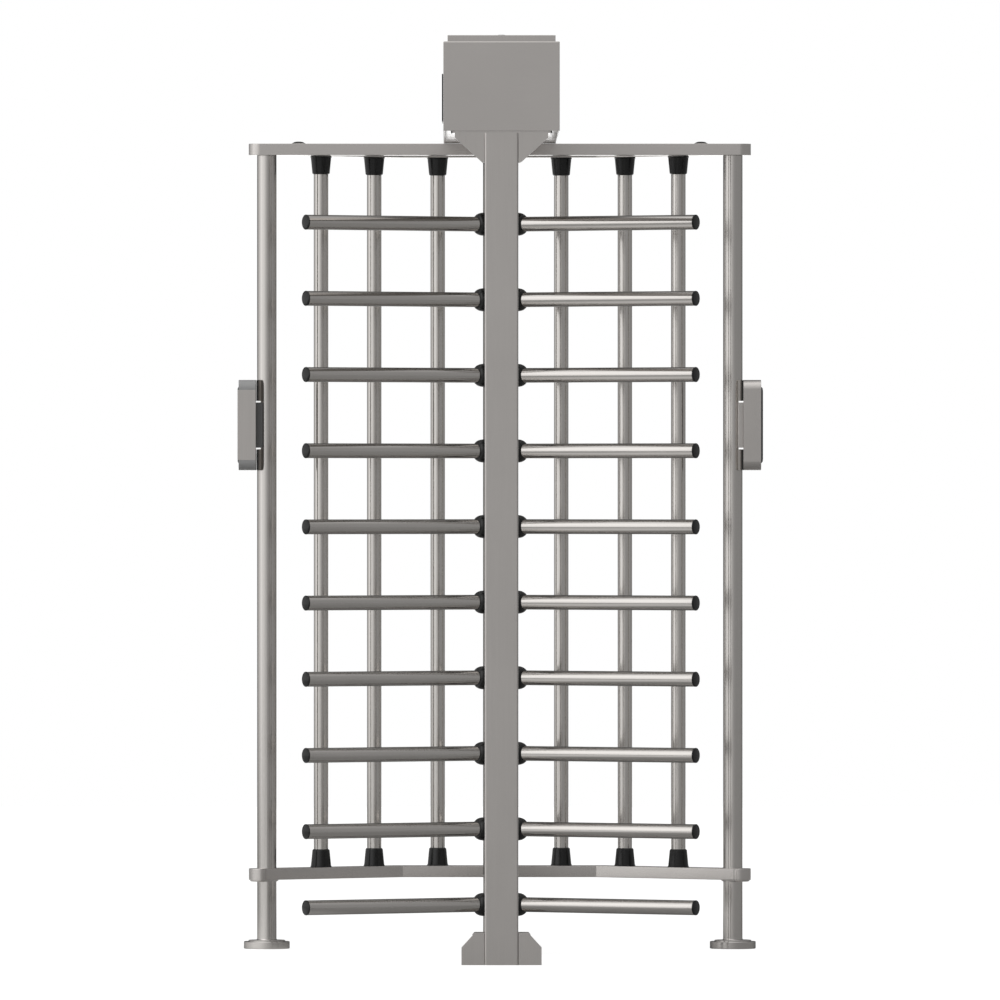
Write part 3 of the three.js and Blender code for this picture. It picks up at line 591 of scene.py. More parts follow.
def ears(name, outline, pocket, low, high):
    """Both ears and their web from one outline in X and Z, open for the post and at the rear."""
    depth = EAR_REAR - EAR_FRONT
    piece = drawn(name, [(x, EAR_FRONT, z) for x, z in outline], (0, depth, 0))
    slot_low = (-SLOT_HALF, EAR_FRONT - 0.01, low - 0.01)
    cut(piece, block("slot", slot_low, (SLOT_HALF, SLOT_REAR, high + 0.01)))
    for side in (-1, 1):
        inside = [(side * x, EAR_FRONT + EAR_THICK, z) for x, z in pocket]
        cut(piece, drawn("pocket", inside, (0, depth, 0)))
    return piece


shoe_outline = [
    (-SHOE_HALF, 0), (SHOE_HALF, 0), (SHOE_HALF, 0.0452),
    (0.0682, SHOE_TOP), (-0.0682, SHOE_TOP), (-SHOE_HALF, 0.0452),
]
web_side = SLOT_HALF + EAR_THICK
shoe_pocket = [(web_side, SHOE_FLOOR), (0.11, SHOE_FLOOR), (0.11, 0.075), (web_side, 0.075)]
shoe = ears("post_shoe", shoe_outline, shoe_pocket, 0, SHOE_TOP)
# The cuts can turn an upright edge's ends round from run to run, and the edges that stand on the
# floor are then bent or left sharp.
bend(shoe, 0.0008, 2, lambda edge: edge.calc_face_angle(0) > 0.5 and edge.verts[0].co.z > 0.001)
fit(shoe, "frame", "brushed_steel", plate_steel, "front_post_shoe")
zinc = ground_steel("zinc_plating", (0.48, 0.485, 0.46), 0.42, (60, 60, 60), 0.05, 0.09)
washer_outline = [
    (0.0072, 0), (0.014, 0), (0.014, 0.002), (0.0134, 0.0025), (0.0072, 0.0025), (0.0072, 0),
]
nut_outline = [(0, 0.0025), (0.0098, 0.0025), (0.0098, 0.0125), (0.0088, 0.0132), (0, 0.0132)]
stud_outline = [(0, 0.013), (0.006, 0.013), (0.006, 0.0212), (0.0052, 0.022), (0, 0.022)]
first_washer = turned("washer", washer_outline, 28)
first_nut = turned("nut", nut_outline, 6)
first_stud = turned("stud", stud_outline, 20)


def bolt(name, x, y, z, body, tilt=0):
    """A washer, a hexagon nut and the end of its stud, standing on Z = z."""
    for kind, pattern in (("washer", first_washer), ("nut", first_nut), ("stud", first_stud)):
        piece = put(another(pattern, f"{name}_{kind}"), (x, y, z), (0, 0, tilt))
        fit(piece, body, "zinc_plate", zinc)


bolt("left_shoe", -ANCHOR_ACROSS, ANCHOR_BACK, SHOE_FLOOR, "frame", 10)
bolt("right_shoe", ANCHOR_ACROSS, ANCHOR_BACK, SHOE_FLOOR, "frame", 40)

# Head bracket
# The same kind of bracket upside down on the post's top: two gusset ears that taper down the
# post's sides, with a front lip. The plate under the head has a rubber edging at both ends.
BRACKET_HALF = 0.118
BRACKET_LOW = 2.029
BRACKET_TOP = 2.1026
PLATE_LOW = 2.1028
PLATE_HALF = 0.1245
EDGING_HALF = 0.128
HEAD_LOW = 2.1079
LIP_REAR = EAR_FRONT + 0.003
PLATE_REAR = EAR_FRONT + 0.15
bracket_outline = [
    (-0.05, BRACKET_LOW), (0.05, BRACKET_LOW), (BRACKET_HALF, 2.091),
    (BRACKET_HALF, BRACKET_TOP), (-BRACKET_HALF, BRACKET_TOP), (-BRACKET_HALF, 2.091),
]
bracket_pocket = [(web_side, 2.095), (web_side, 2.02), (0.13, 2.02), (0.13, 2.095)]
bracket = ears("bracket_ears", bracket_outline, bracket_pocket, BRACKET_LOW, 2.08)


def ear_foot(edge):
    """The outer corner at the foot of an ear."""
    end = edge.verts[0].co
    return way(edge).y > 0.9 and end.z < BRACKET_LOW + 0.001 and abs(end.x) > 0.045


bend(bracket, 0.007, 5, ear_foot)
fit(bracket, "frame", "brushed_steel", plate_steel, "head_bracket")
lip_low = (-BRACKET_HALF, EAR_FRONT, BRACKET_TOP)
lip = block("bracket_lip", lip_low, (BRACKET_HALF, LIP_REAR, HEAD_LOW))
bend(lip, 0.0001, 1, lambda edge: way(edge).x > 0.9 and edge.verts[0].co.z > 2.107)
fit(lip, "frame", "brushed_steel", plate_steel, "head_bracket")
top_plate_low = (-PLATE_HALF, LIP_REAR, PLATE_LOW)
top_plate = block("bracket_plate", top_plate_low, (PLATE_HALF, PLATE_REAR, 2.1076))
bend(top_plate, 0.0006, 2, lambda edge: True)
sheet_steel = ground_steel("sheet_steel", (0.53, 0.506, 0.486), 0.15, (8, 8, 500))
fit(top_plate, "frame", "brushed_steel", sheet_steel, "head_bracket")
for side, hand in HANDS:
    near, far = sorted((side * PLATE_HALF, side * EDGING_HALF))
    edging_low = (near, LIP_REAR, PLATE_LOW)
    edging = block(f"{hand}_plate_edging", edging_low, (far, PLATE_REAR, HEAD_LOW))
    bend(edging, 0.0005, 2, lambda edge: way(edge).y > 0.9)
    fit(edging, "frame", "black_plastic", black_plastic, "head_bracket")

# Floor pivot
# A turned steel flange with a conical neck, bolted to the floor under the column, and the lower
# end of the bearing that the column turns on.
FLANGE_TOP = 0.012
NECK_TOP = 0.042
PIVOT_BOLTS = 0.0645
pivot_outline = [
    (0, 0), (0.0738, 0), (0.075, 0.0012), (0.075, 0.0108), (0.0738, FLANGE_TOP),
    (0.0555, FLANGE_TOP), (0.0536, 0.0126), (0.0528, 0.0145), (0.0458, 0.0408),
    (0.0448, NECK_TOP), (0, NECK_TOP),
]
pivot = turned("pivot_flange", pivot_outline, 64)
fit(pivot, "frame", "brushed_steel", post_steel, "floor_pivot")
for number in range(4):
    angle = math.radians(45 + 90 * number)
    across, back = PIVOT_BOLTS * math.cos(angle), PIVOT_BOLTS * math.sin(angle)
    bolt(f"pivot_{number + 1}", across, back, FLANGE_TOP, "frame", 20 * number)

# Rotor column
# A thick round steel tube, from the floor pivot up into the head, that carries the three wings.
# It is ground like the side posts, and its lower edge is dressed.
COLUMN_RADIUS = 0.045
COLUMN_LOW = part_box("rotor_column")[0].z
COLUMN_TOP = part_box("rotor_column")[1].z
column_outline = [
    (0, COLUMN_LOW), (0.0443, COLUMN_LOW), (COLUMN_RADIUS, COLUMN_LOW + 0.0007),
    (COLUMN_RADIUS, COLUMN_TOP), (0, COLUMN_TOP),
]
column = turned("column_tube", column_outline, 80)
fit(column, "rotor", "brushed_steel", post_steel, "rotor_column")

# Bars
# Thirty straight polished tubes in ten tiers, one to each wing. A round black collar seats each
# bar on the column, and a flat black plug with a rolled edge closes its free end.
BAR_REACH = 0.577
BAR_END = BAR_REACH - 0.002
COLLAR_FOOT = 0.02
COLLAR_RADIUS = 0.03
SHOULDER = 0.051
bar_steel = ground_steel("bar_steel", (0.56, 0.537, 0.514), 0.15, (6, 6, 500), rim=0.4)
bar_outline = [(0, 0.05), (TUBE_RADIUS, 0.05), (TUBE_RADIUS, BAR_END), (0, BAR_END)]
plug_outline = [
    (0, BAR_END), (0.0194, BAR_REACH - 0.0019), (0.0195, BAR_REACH - 0.0005),
    (0.0193, BAR_REACH + 0.0006), (0.0184, BAR_REACH + 0.0014), (0.0152, BAR_REACH + 0.0022),
    (0.0146, BAR_REACH + 0.0018), (0.008, BAR_REACH + 0.0025), (0, BAR_REACH + 0.0027),
]
collar_outline = [(CUP_BORE, COLLAR_FOOT), (COLLAR_RADIUS, COLLAR_FOOT), (COLLAR_RADIUS, SHOULDER)]
for step in range(1, 10):
    roll = math.radians(90 * step / 9)
    collar_outline.append((0.0193 + 0.0107 * math.cos(roll), SHOULDER + 0.0207 * math.sin(roll)))
collar_outline += [(CUP_BORE, SHOULDER + 0.0207), (CUP_BORE, COLLAR_FOOT)]
first_bar = turned("bar", bar_outline, 40)
first_plug = turned("plug", plug_outline, 40)
first_collar = turned("collar", collar_outline, 40)
for pattern in (first_bar, first_plug, first_collar):
    put(pattern, (0, 0, 0), (0, 90, 0))
cut(first_collar, hole(COLUMN_RADIUS + 0.0003, -0.05, 0.05, 80))
for wing, turn in (("rear", 90), ("left", 210), ("right", 330)):
    for tier in range(10):
        node = f"{wing}_wing_bar_{tier + 1:02d}"
        low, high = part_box(node)
        height = (low.z + high.z) / 2
        for part, pattern, slot, finish in (
            ("bar", first_bar, "polished_tube", bar_steel),
            ("plug", first_plug, "black_plastic", black_plastic),
            ("collar", first_collar, "black_plastic", black_plastic),
        ):
            piece = another(pattern, f"{wing}_{part}_{tier + 1}")
            fit(put(piece, (0, 0, height), (0, 0, turn)), "rotor", slot, finish, node)
for pattern in (first_bar, first_plug, first_collar):
    bpy.data.objects.remove(pattern)

# Head housing
# A long tray folded from 2 mm sheet, from the front post back to the top frame, with an inward
# rim at the top, and holes in its floor for the column and the cables. Flat end plates with
# square corners stand past its two long bends.
SHEET = 0.002
HEAD_HALF = 0.147
HEAD_FRONT = POST_FRONT
HEAD_REAR = 0.44
HEAD_HIGH = 2.334
HEAD_LONG = HEAD_REAR - HEAD_FRONT
RIM = 0.014
head = block("head_tray", (-HEAD_HALF, HEAD_FRONT, HEAD_LOW), (HEAD_HALF, HEAD_REAR, HEAD_HIGH))


def head_fold(edge):
    """The rim's fold is wide, the upright corners are tight and the floor's ends are sharp."""
    if not level(edge):
        return 0.4
    return 1.0 if edge.verts[0].co.z > HEAD_HIGH - 0.001 else 0.05


bend(head, 0.005, 6, lambda edge: way(edge).y > 0.9 and edge.verts[0].co.z < HEAD_LOW + 0.001)
bend(head, 0.0028, 4, lambda edge: edge.calc_face_angle(0) > 1 and head_fold(edge))
bpy.ops.object.mode_set(mode="EDIT")
pick(head, "faces", lambda face: face.normal.z > 0.99 and face.calc_area() > 0.1)
bpy.ops.mesh.inset(thickness=0.0115, depth=0)
extrude((0, 0, -SHEET))
extrude((0, 0, -0.0001))
wider = (HEAD_HALF - SHEET) / (HEAD_HALF - RIM)
longer = (HEAD_LONG - 2 * SHEET) / (HEAD_LONG - 2 * RIM)
centre = (0, (HEAD_FRONT + HEAD_REAR) / 2, HEAD_HIGH)
bpy.ops.transform.resize(value=(wider, longer, 1), center_override=centre)
extrude((0, 0, HEAD_LOW + SHEET - HEAD_HIGH + SHEET + 0.0001))
bpy.ops.object.mode_set(mode="OBJECT")
for back, radius in ((0, 0.048), (ANCHOR_BACK, 0.015)):
    cut(head, hole(radius, 2.09, 2.12, 48, (0, back, 0)))
fit(head, "frame", "brushed_steel", sheet_steel, "head_housing")
for end, back in (("front", HEAD_FRONT + 0.0001), ("rear", HEAD_REAR - 0.0021)):
    end_plate = block(
        f"head_{end}_plate",
        (-HEAD_HALF, back, HEAD_LOW),
        (HEAD_HALF, back + SHEET, HEAD_HIGH - 0.003),
    )
    bend(end_plate, 0.0002, 1, level)
    fit(end_plate, "frame", "brushed_steel", sheet_steel, "head_housing")

# Head lid
# A shallow sheet metal tray upside down on the housing. It is hinged at the rear on a long
# knuckle between two pins, and a cam lock holds it in front.
LID_HALF = 0.1365
LID_FRONT = -0.734
LID_REAR = 0.429
LID_LOW = 2.3343
LID_HIGH = 2.35
HINGE_BACK = 0.4335
HINGE_UP = 2.3383
HINGE_RADIUS = 0.004
KNUCKLE_HALF = 0.1
LOCK_BACK = -0.7
lid = block("lid_tray", (-LID_HALF, LID_FRONT, LID_LOW), (LID_HALF, LID_REAR, LID_HIGH))
bend(lid, 0.0009, 3, lambda edge: edge.verts[0].co.z + edge.verts[1].co.z > 2 * LID_LOW + 0.002)
bpy.ops.object.mode_set(mode="EDIT")
pick(lid, "faces", lambda face: face.normal.z < -0.99)
bpy.ops.mesh.inset(thickness=SHEET, depth=0)
extrude((0, 0, LID_HIGH - LID_LOW - SHEET))
bpy.ops.object.mode_set(mode="OBJECT")
cut(lid, hole(0.0075, 2.34, 2.36, 32, (0, LOCK_BACK, 0)))
lid_steel = ground_steel("lid_steel", (0.53, 0.506, 0.486), 0.15, (500, 6, 6), cloud=0.01)
fit(lid, "lid", "brushed_steel", lid_steel, "head_lid")
knuckle_outline = [
    (0.0021, -KNUCKLE_HALF), (0.0037, -KNUCKLE_HALF), (HINGE_RADIUS, 0.0003 - KNUCKLE_HALF),
    (HINGE_RADIUS, KNUCKLE_HALF - 0.0003), (0.0037, KNUCKLE_HALF), (0.0021, KNUCKLE_HALF),
    (0.0021, -KNUCKLE_HALF),
]
knuckle = turned("lid_knuckle", knuckle_outline, 24)
put(knuckle, (0, HINGE_BACK, HINGE_UP), (0, 90, 0))
fit(knuckle, "lid", "brushed_steel", post_steel, "head_lid")
leaf = block(
    "lid_leaf",
    (-KNUCKLE_HALF, LID_REAR - SHEET, HINGE_UP - SHEET),
    (KNUCKLE_HALF, HINGE_BACK - SHEET, HINGE_UP + SHEET),
)
bend(leaf, 0.0004, 1, lambda edge: way(edge).x > 0.9)
fit(leaf, "lid", "brushed_steel", sheet_steel, "head_lid")
PIN_FROM = 0.0805
PIN_HEAD = 0.1005
PIN_END = 0.1155
pin_outline = [
    (0, PIN_FROM), (0.0019, PIN_FROM), (0.0019, PIN_HEAD), (0.0037, PIN_HEAD),
    (HINGE_RADIUS, PIN_HEAD + 0.0003), (HINGE_RADIUS, PIN_END - 0.0003), (0.0037, PIN_END),
    (0, PIN_END),
]
for side, hand in HANDS:
    pin = turned(f"{hand}_hinge_pin", pin_outline, 24)
    put(pin, (0, HINGE_BACK, HINGE_UP), (0, side * 90, 0))
    fit(pin, "frame", "brushed_steel", post_steel, "head_housing")
    from_x, to_x = sorted((side * PIN_HEAD, side * PIN_END))
    foot = block(
        f"{hand}_hinge_foot",
        (from_x, HINGE_BACK - SHEET, HEAD_HIGH - 0.001),
        (to_x, HINGE_BACK + HINGE_RADIUS, HINGE_UP),
    )
    bend(foot, 0.0006, 2, lambda edge: way(edge).z > 0.9)
    fit(foot, "frame", "brushed_steel", sheet_steel, "head_housing")

# Lid lock
# A turned barrel of hardened steel with a bevelled head and a key slot, and the tongue that it
# swings under the lid.
LOCK_LOW = 2.331
hard_steel = ground_steel("hard_steel", (0.34, 0.34, 0.345), 0.36, (140, 140, 140), 0.05, 0.05)
lock_outline = [
    (0, LOCK_LOW), (0.007, LOCK_LOW), (0.007, 2.3502), (0.0085, 2.3502), (0.0085, 2.3511),
    (0.0079, 2.3518), (0.0065, 2.352), (0.006, 2.3517), (0, 2.3517),
]
lock = put(turned("lock_barrel", lock_outline, 40), (0, LOCK_BACK, 0))
key_low = (-0.0008, LOCK_BACK - 0.004, 2.344)
cut(lock, block("key_slot", key_low, (0.0008, LOCK_BACK + 0.004, 2.36)))
fit(lock, "lock", "hard_steel", hard_steel, "lid_lock")
tongue_low = (-0.0045, LOCK_BACK, LOCK_LOW)
tongue = block("lock_tongue", tongue_low, (0.0045, LOCK_BACK + 0.022, LOCK_LOW + 0.003))
bend(tongue, 0.002, 3, lambda edge: way(edge).z > 0.9)
fit(tongue, "lock", "hard_steel", hard_steel, "lid_lock")

# Direction panels
# A dark glass plate with round corners on each side of the head, fixed flat to the housing, with
# rows of small lamps behind it that are off.
dark_glass, pane, pane_shader = new_finish("dark_glass")
lamp_sockets = {"Vector": pane, "Scale": 200.0, "Randomness": 0.0}
lamps = pane.node("ShaderNodeTexVoronoi", lamp_sockets, "Distance")
lamp_spots = (1 - lamps * 3.2).clamped()
pane_tone = pane.node(
    "ShaderNodeMix",
    {"Factor": lamp_spots, "A": (0.006, 0.0062, 0.0065, 1), "B": (0.02, 0.0205, 0.021, 1)},
    "Result",
    data_type="RGBA",
)
pane_rough = 0.12 + pane.noise(12.0, 4.0) * 0.1
pane.fill(
    pane_shader,
    {"Base Color": pane_tone, "Roughness": pane_rough, "Specular IOR Level": 0.3},
)


def rounded_face(x, ys, zs, radius):
    """The outline of an upright face at one X, with round corners."""
    corners = []
    for y, z, start in ((1, 0, 270), (1, 1, 0), (0, 1, 90), (0, 0, 180)):
        y_centre = ys[y] + radius * (1 - 2 * y)
        z_centre = zs[z] + radius * (1 - 2 * z)
        corner = arc(y_centre, z_centre, 0, radius, start, start + 90, 6)
        corners += [(x, across, up) for across, up, _ in corner]
    return corners


for side, hand in HANDS:
    low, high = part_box(f"{hand}_direction_panel")
    inner, outer = (low.x, high.x) if side > 0 else (high.x, low.x)
    corners = rounded_face(inner, (low.y, high.y), (low.z, high.z), 0.008)
    panel = drawn(f"{hand}_panel_glass", corners, (outer - inner, 0, 0))
    bend(panel, 0.0003, 1, lambda edge: way(edge).x < 0.01 and abs(edge.verts[0].co.x) > 0.15)
    fit(panel, "frame", "dark_screen", dark_glass, f"{hand}_direction_panel")

# Readers
# Two like units that stand turned about to face outwards. A saddle of a middle and two arms, with
# white spacers between them, holds a case with a dark screen. The spacers shine with a painted
# glow, and dark jaws and black strips at the arms' ends are painted shade. One half of each unit is
# steel. The other half is grey and black plastic under a steel cover plate, and the left unit shows
# it.
SADDLE_HALF = 0.0282
SLOT_FROM_END = 0.0548
SLOT_HIGH = 0.004
GROOVE_FROM = 0.0246
GROOVE_TO = 0.0252
PLASTIC_LIP = -0.0022
ARM_REACH = 0.6295
PAINTED_SHADE_JAW_REACH = 0.6335
BRIDGE_THICK = 0.0021
COVER_HALF = 0.0916
LEFT_STAND_OFF = 0.0012
arm_steel = ground_steel("arm_steel", (0.42, 0.395, 0.37), 0.34, (120, 120, 120), 0.04, 0.03)
dull_steel = ground_steel("dull_steel", (0.19, 0.172, 0.155), 0.42, (120, 120, 120), 0.05, 0.04)
# cast_metal is steel darkened with painted shade, not a metal of its own. It colours the jaws,
# which stand for the shade on the arms' rounded ends.
cast_metal = ground_steel("cast_metal", (0.11, 0.1, 0.092), 0.42, (120, 120, 120), 0.05, 0.04)


def moulding(name, tone, roughness, glow=0.0):
    """Moulded plastic of one neutral tone with a fine haze. A glow above zero is painted
    light: the plastic shines though it is no lamp.
    """
    finish, place, shader = new_finish(name)
    haze = place.noise(160.0, 3.0)
    bump = place.node("ShaderNodeBump", {"Height": haze, "Strength": 0.05, "Distance": 0.0003})
    place.fill(
        shader,
        {
            "Base Color": (tone, tone, tone, 1),
            "Roughness": roughness + haze * 0.1,
            "Normal": bump,
            "Emission Color": (1, 1, 1, 1),
            "Emission Strength": glow,
        },
    )
    return finish


grey_plastic = moulding("grey_plastic", 0.3, 0.35)
soft_plastic = moulding("soft_plastic", 0.12, 0.15)
# The spacers' near-white plastic has a painted glow, an emission that makes them shine though they
# are no lamp.
white_spacer_painted_glow = moulding("white_spacer_painted_glow", 0.9, 0.3, 0.7)
screen_glass = dark_glass.copy()
screen_glass.name = "screen_glass"
screen_glass.node_tree.nodes["Principled BSDF"].inputs["Specular IOR Level"].default_value = 0.65


def slab(name, side, across, depths, heights):
    """A block between two distances from the centre line. depths are counted from the side
    post's row towards the steel half of the unit."""
    from_x, to_x = sorted((side * across[0], side * across[1]))
    from_y, to_y = sorted((POST_ROW - side * depths[0], POST_ROW - side * depths[1]))
    return block(name, (from_x, from_y, heights[0]), (to_x, to_y, heights[1]))


def hugging(piece, side):
    """Hollows a piece to fit the side post."""
    cut(piece, hole(0.0257, 1.2, 1.55, 64, (side * POST_SPREAD, POST_ROW, 0)))
    return piece


def around(middle, half):
    """A span that reaches as far to both sides of its middle."""
    return (middle - half, middle + half)


def span(end, inward, start, stop):
    """Two heights that are counted inwards from one end of a reader."""
    return sorted((end + inward * start, end + inward * stop))


for side, hand in HANDS:
    low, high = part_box(f"{hand}_reader_housing")
    inner, outer = sorted((abs(low.x), abs(high.x)))
    saddle_node = f"{hand}_reader_saddle"
    saddle_low, saddle_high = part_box(saddle_node)
    saddle_edge = min(abs(saddle_low.x), abs(saddle_high.x))
    stand_off = LEFT_STAND_OFF if side < 0 else 0
    case_inner = inner + stand_off
    ends = ((low.z, "low", 1), (high.z, "high", -1))
    middle_heights = (low.z + SLOT_FROM_END + SLOT_HIGH, high.z - SLOT_FROM_END - SLOT_HIGH)
    for layer, depths, lip, corner, middle_finish, arm_finish in (
        ("steel", (0, SADDLE_HALF), 0, 0.003, plate_steel, arm_steel),
        ("plastic", (-SADDLE_HALF, 0), PLASTIC_LIP, 0.006, soft_plastic, dull_steel),
    ):
        saddle_inner = saddle_edge + lip
        across = (saddle_inner, case_inner - 0.0003)
        middle = slab(f"{hand}_{layer}_middle", side, across, depths, middle_heights)
        # This rounds the steel middle. The plastic one's share is its lip, a number below zero that
        # rounds nothing, but with it the right plastic middle comes out of its hollowing open.
        bend(
            middle,
            0.004,
            6,
            lambda edge: way(edge).z > 0.9
            and abs(edge.verts[0].co.y - POST_ROW) > 0.02
            and (lip or abs(edge.verts[0].co.x) < inner - 0.005),
        )
        fit(hugging(middle, side), "frame", "brushed_steel", middle_finish, saddle_node)
        for end, tag, inward in ends:
            heights = span(end, inward, 0, SLOT_FROM_END)
            across = (saddle_inner, ARM_REACH)
            arm = slab(f"{hand}_{layer}_{tag}_arm", side, across, depths, heights)
            bend(
                arm,
                corner,
                5,
                lambda edge: way(edge).y > 0.9
                and abs(abs(edge.verts[0].co.x) - saddle_inner) < 0.0001
                and abs(edge.verts[0].co.z - end) < 0.0001,
            )
            if layer == "plastic":
                wedge_low = heights[0] - 0.001
                wedge_corners = [
                    (side * (saddle_inner + x), POST_ROW + side * (SADDLE_HALF - y), wedge_low)
                    for x, y in ((-0.001, -0.001), (0.0052, -0.001), (-0.001, 0.0052))
                ]
                cut(arm, drawn("wedge", wedge_corners, (0, 0, SLOT_FROM_END + 0.002)))
            ring_depths = (depths[0] * 2, depths[1] * 2)
            groove = slab("groove", side, (0, 1), ring_depths, around(end, GROOVE_TO))
            cut(groove, slab("core", side, (0, 2), around(0, 0.0272), around(end, 0.1)))
            cut(groove, slab("gap", side, (0, 2), around(0, 0.1), around(end, GROOVE_FROM)))
            cut(arm, groove)
            fit(hugging(arm, side), "frame", "cast_metal", arm_finish, saddle_node)
    painted_shade_strip_from = PAINTED_SHADE_JAW_REACH - stand_off
    bridge_from = saddle_edge + stand_off
    bridge_to = bridge_from + BRIDGE_THICK
    for end, tag, inward in ends:
        painted_shade_jaw_heights = span(end, inward, 0.0004, SLOT_FROM_END)
        painted_shade_strip_heights = span(end, inward, 0.0006, SLOT_FROM_END - 0.0006)
        slot_heights = span(end, inward, SLOT_FROM_END, SLOT_FROM_END + SLOT_HIGH)
        painted_shade_strip_across = (painted_shade_strip_from, inner - stand_off / 3)
        # The jaws and black strips are dark pieces in place of the shade that falls where the arms
        # round off towards the case: painted shade.
        for part, across, half, heights, slot, finish in (
            ("painted_shade_jaw", (ARM_REACH, painted_shade_strip_from), 0.0266, painted_shade_jaw_heights, "cast_metal", cast_metal),
            ("painted_shade_strip", painted_shade_strip_across, 0.0288, painted_shade_strip_heights, "black_plastic", black_plastic),
            ("bridge", (bridge_from, bridge_to), 0.0278, slot_heights, "cast_metal", arm_steel),
            ("spacer", (bridge_to, case_inner), 0.0278, slot_heights, "cast_metal", white_spacer_painted_glow),
        ):
            piece = slab(f"{hand}_{tag}_{part}", side, across, around(0, half), heights)
            if part == "painted_shade_strip":
                bend(piece, 0.0008, 2, lambda edge: way(edge).x > 0.9)
            fit(hugging(piece, side), "frame", slot, finish, saddle_node)

    case_corners = rounded_face(side * case_inner, (low.y, high.y), (low.z, high.z), 0.024)
    for layer, depth, finish in (("steel", -1, plate_steel), ("plastic", 1, grey_plastic)):
        case = drawn(f"{hand}_{layer}_case", case_corners, (side * (outer - case_inner), 0, 0))
        bend(case, 0.0008, 2, lambda edge: way(edge).x < 0.01 and edge.calc_face_angle(0) > 1)
        cut(case, slab("other_half", side, (0, 1), (0, depth), (1, 2)))
        fit(case, "frame", "brushed_steel", finish, f"{hand}_reader_housing")
    cover = slab(
        f"{hand}_cover_plate",
        side,
        (case_inner + 0.0004, outer + 0.0027),
        (low.y - POST_ROW - 0.0008, low.y - POST_ROW + 0.0002),
        around((low.z + high.z) / 2, COVER_HALF),
    )
    bend(cover, 0.0003, 1, lambda edge: True)
    fit(cover, "frame", "brushed_steel", plate_steel, f"{hand}_reader_housing")

    low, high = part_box(f"{hand}_reader_screen")
    crown = 1.1 if side > 0 else 0.66
    corners = rounded_face(side * outer, (low.y, high.y), (low.z, high.z), 0.014)
    screen = drawn(f"{hand}_screen_glass", corners, (side * 0.0016 * crown, 0, 0))
    bpy.ops.object.mode_set(mode="EDIT")
    pick(
        screen,
        "faces",
        lambda face: abs(face.normal.x) > 0.9
        and abs(face.calc_center_median().x) > outer + 0.0008,
    )
    for step, lift in ((0.002, 0.0016), (0.002, 0.001), (0.003, 0.0005), (0.005, 0.0003)):
        bpy.ops.mesh.inset(thickness=step, depth=lift * crown)
    bpy.ops.object.mode_set(mode="OBJECT")
    fit(screen, "frame", "dark_screen", screen_glass, f"{hand}_reader_screen")

# Lock mechanism
# Inside the head: a zinc plated deck with the column's bearing, two holding magnets and the pawls
# that stop the hardened index wheel. A sprung boss carries each pawl. Wheel and pawls are cut
# from plate and keep the shapes of the frame.
DECK_TOP = 2.1166
DECK_FOOT = DECK_TOP - 0.0005
BEARING_TOP = 2.14
FLANGE_HIGH = DECK_TOP + 0.0045
WHEEL_MIDDLE = 2.1533
WHEEL_TOP = 2.1603
deck_low, deck_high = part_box("mechanism_deck")
deck_foot = (deck_low.x, deck_low.y, HEAD_LOW + SHEET)
deck = block("deck_plate", deck_foot, (deck_high.x, deck_high.y, DECK_TOP))
bend(deck, 0.006, 4, lambda edge: way(edge).z > 0.9)
bend(deck, 0.0008, 2, lambda edge: level(edge) and edge.verts[0].co.z > DECK_TOP - 0.001)
cut(deck, hole(COLUMN_RADIUS + 0.0005, 2.09, 2.13, 80))
fit(deck, "frame", "zinc_plate", zinc, "mechanism_deck")
deck_bolts = ((-0.106, -0.175), (0.106, -0.175), (-0.106, 0.095), (0.106, 0.095))
for number, (across, back) in enumerate(deck_bolts):
    bolt(f"deck_{number + 1}", across, back, DECK_TOP, "frame", 15 * number)

screw_outline = [
    (0, -0.001), (0.0042, -0.001), (0.0042, 0.0036), (0.0038, 0.004), (0.0022, 0.004),
    (0.0021, 0.0018), (0, 0.0018),
]
first_screw = turned("screw", screw_outline, 24)


def ring_of_screws(name, radius, height, body):
    """Six socket head screws on a circle about the column."""
    for number in range(6):
        angle = math.tau * (number + 0.5) / 6
        screw = another(first_screw, f"{name}_screw_{number + 1}")
        put(screw, (radius * math.cos(angle), radius * math.sin(angle), height))
        fit(screw, body, "hard_steel", hard_steel)


bearing_outline = [
    (0.0456, DECK_FOOT), (0.0705, DECK_FOOT), (0.0705, DECK_TOP + 0.004), (0.07, FLANGE_HIGH),
    (0.0605, FLANGE_HIGH), (0.0597, DECK_TOP + 0.0053), (0.0595, BEARING_TOP - 0.0015),
    (0.058, BEARING_TOP), (0.0456, BEARING_TOP), (0.0456, DECK_FOOT),
]
bearing = turned("bearing_ring", bearing_outline, 80)
fit(bearing, "frame", "zinc_plate", post_steel, "mechanism_deck")
ring_of_screws("bearing", 0.0652, FLANGE_HIGH, "frame")
seal_outline = [
    (0.0453, BEARING_TOP - 0.0005), (0.0545, BEARING_TOP - 0.0005),
    (0.0541, BEARING_TOP + 0.0008), (0.0453, BEARING_TOP + 0.0012),
    (0.0453, BEARING_TOP - 0.0005),
]
seal = turned("bearing_seal", seal_outline, 80)
fit(seal, "frame", "black_plastic", black_plastic, "mechanism_deck")

HUB_FOOT = WHEEL_TOP - 0.0002
HUB_FLOOR = WHEEL_TOP + 0.0034
HUB_TOP = WHEEL_TOP + 0.0042
hub_outline = [
    (0, HUB_FOOT), (0.0285, HUB_FOOT), (0.0285, HUB_FLOOR), (0.0277, HUB_TOP),
    (0.012, HUB_TOP), (0.0112, HUB_FLOOR), (0, HUB_FLOOR),
]
hub = turned("wheel_hub", hub_outline, 64)
fit(hub, "rotor", "hard_steel", zinc)
ring_of_screws("hub", 0.0205, HUB_TOP, "rotor")
for node in ("index_wheel", "left_pawl", "right_pawl"):
    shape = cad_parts[node]
    shape.data.materials.clear()
    shape.data.materials.append(hard_steel)

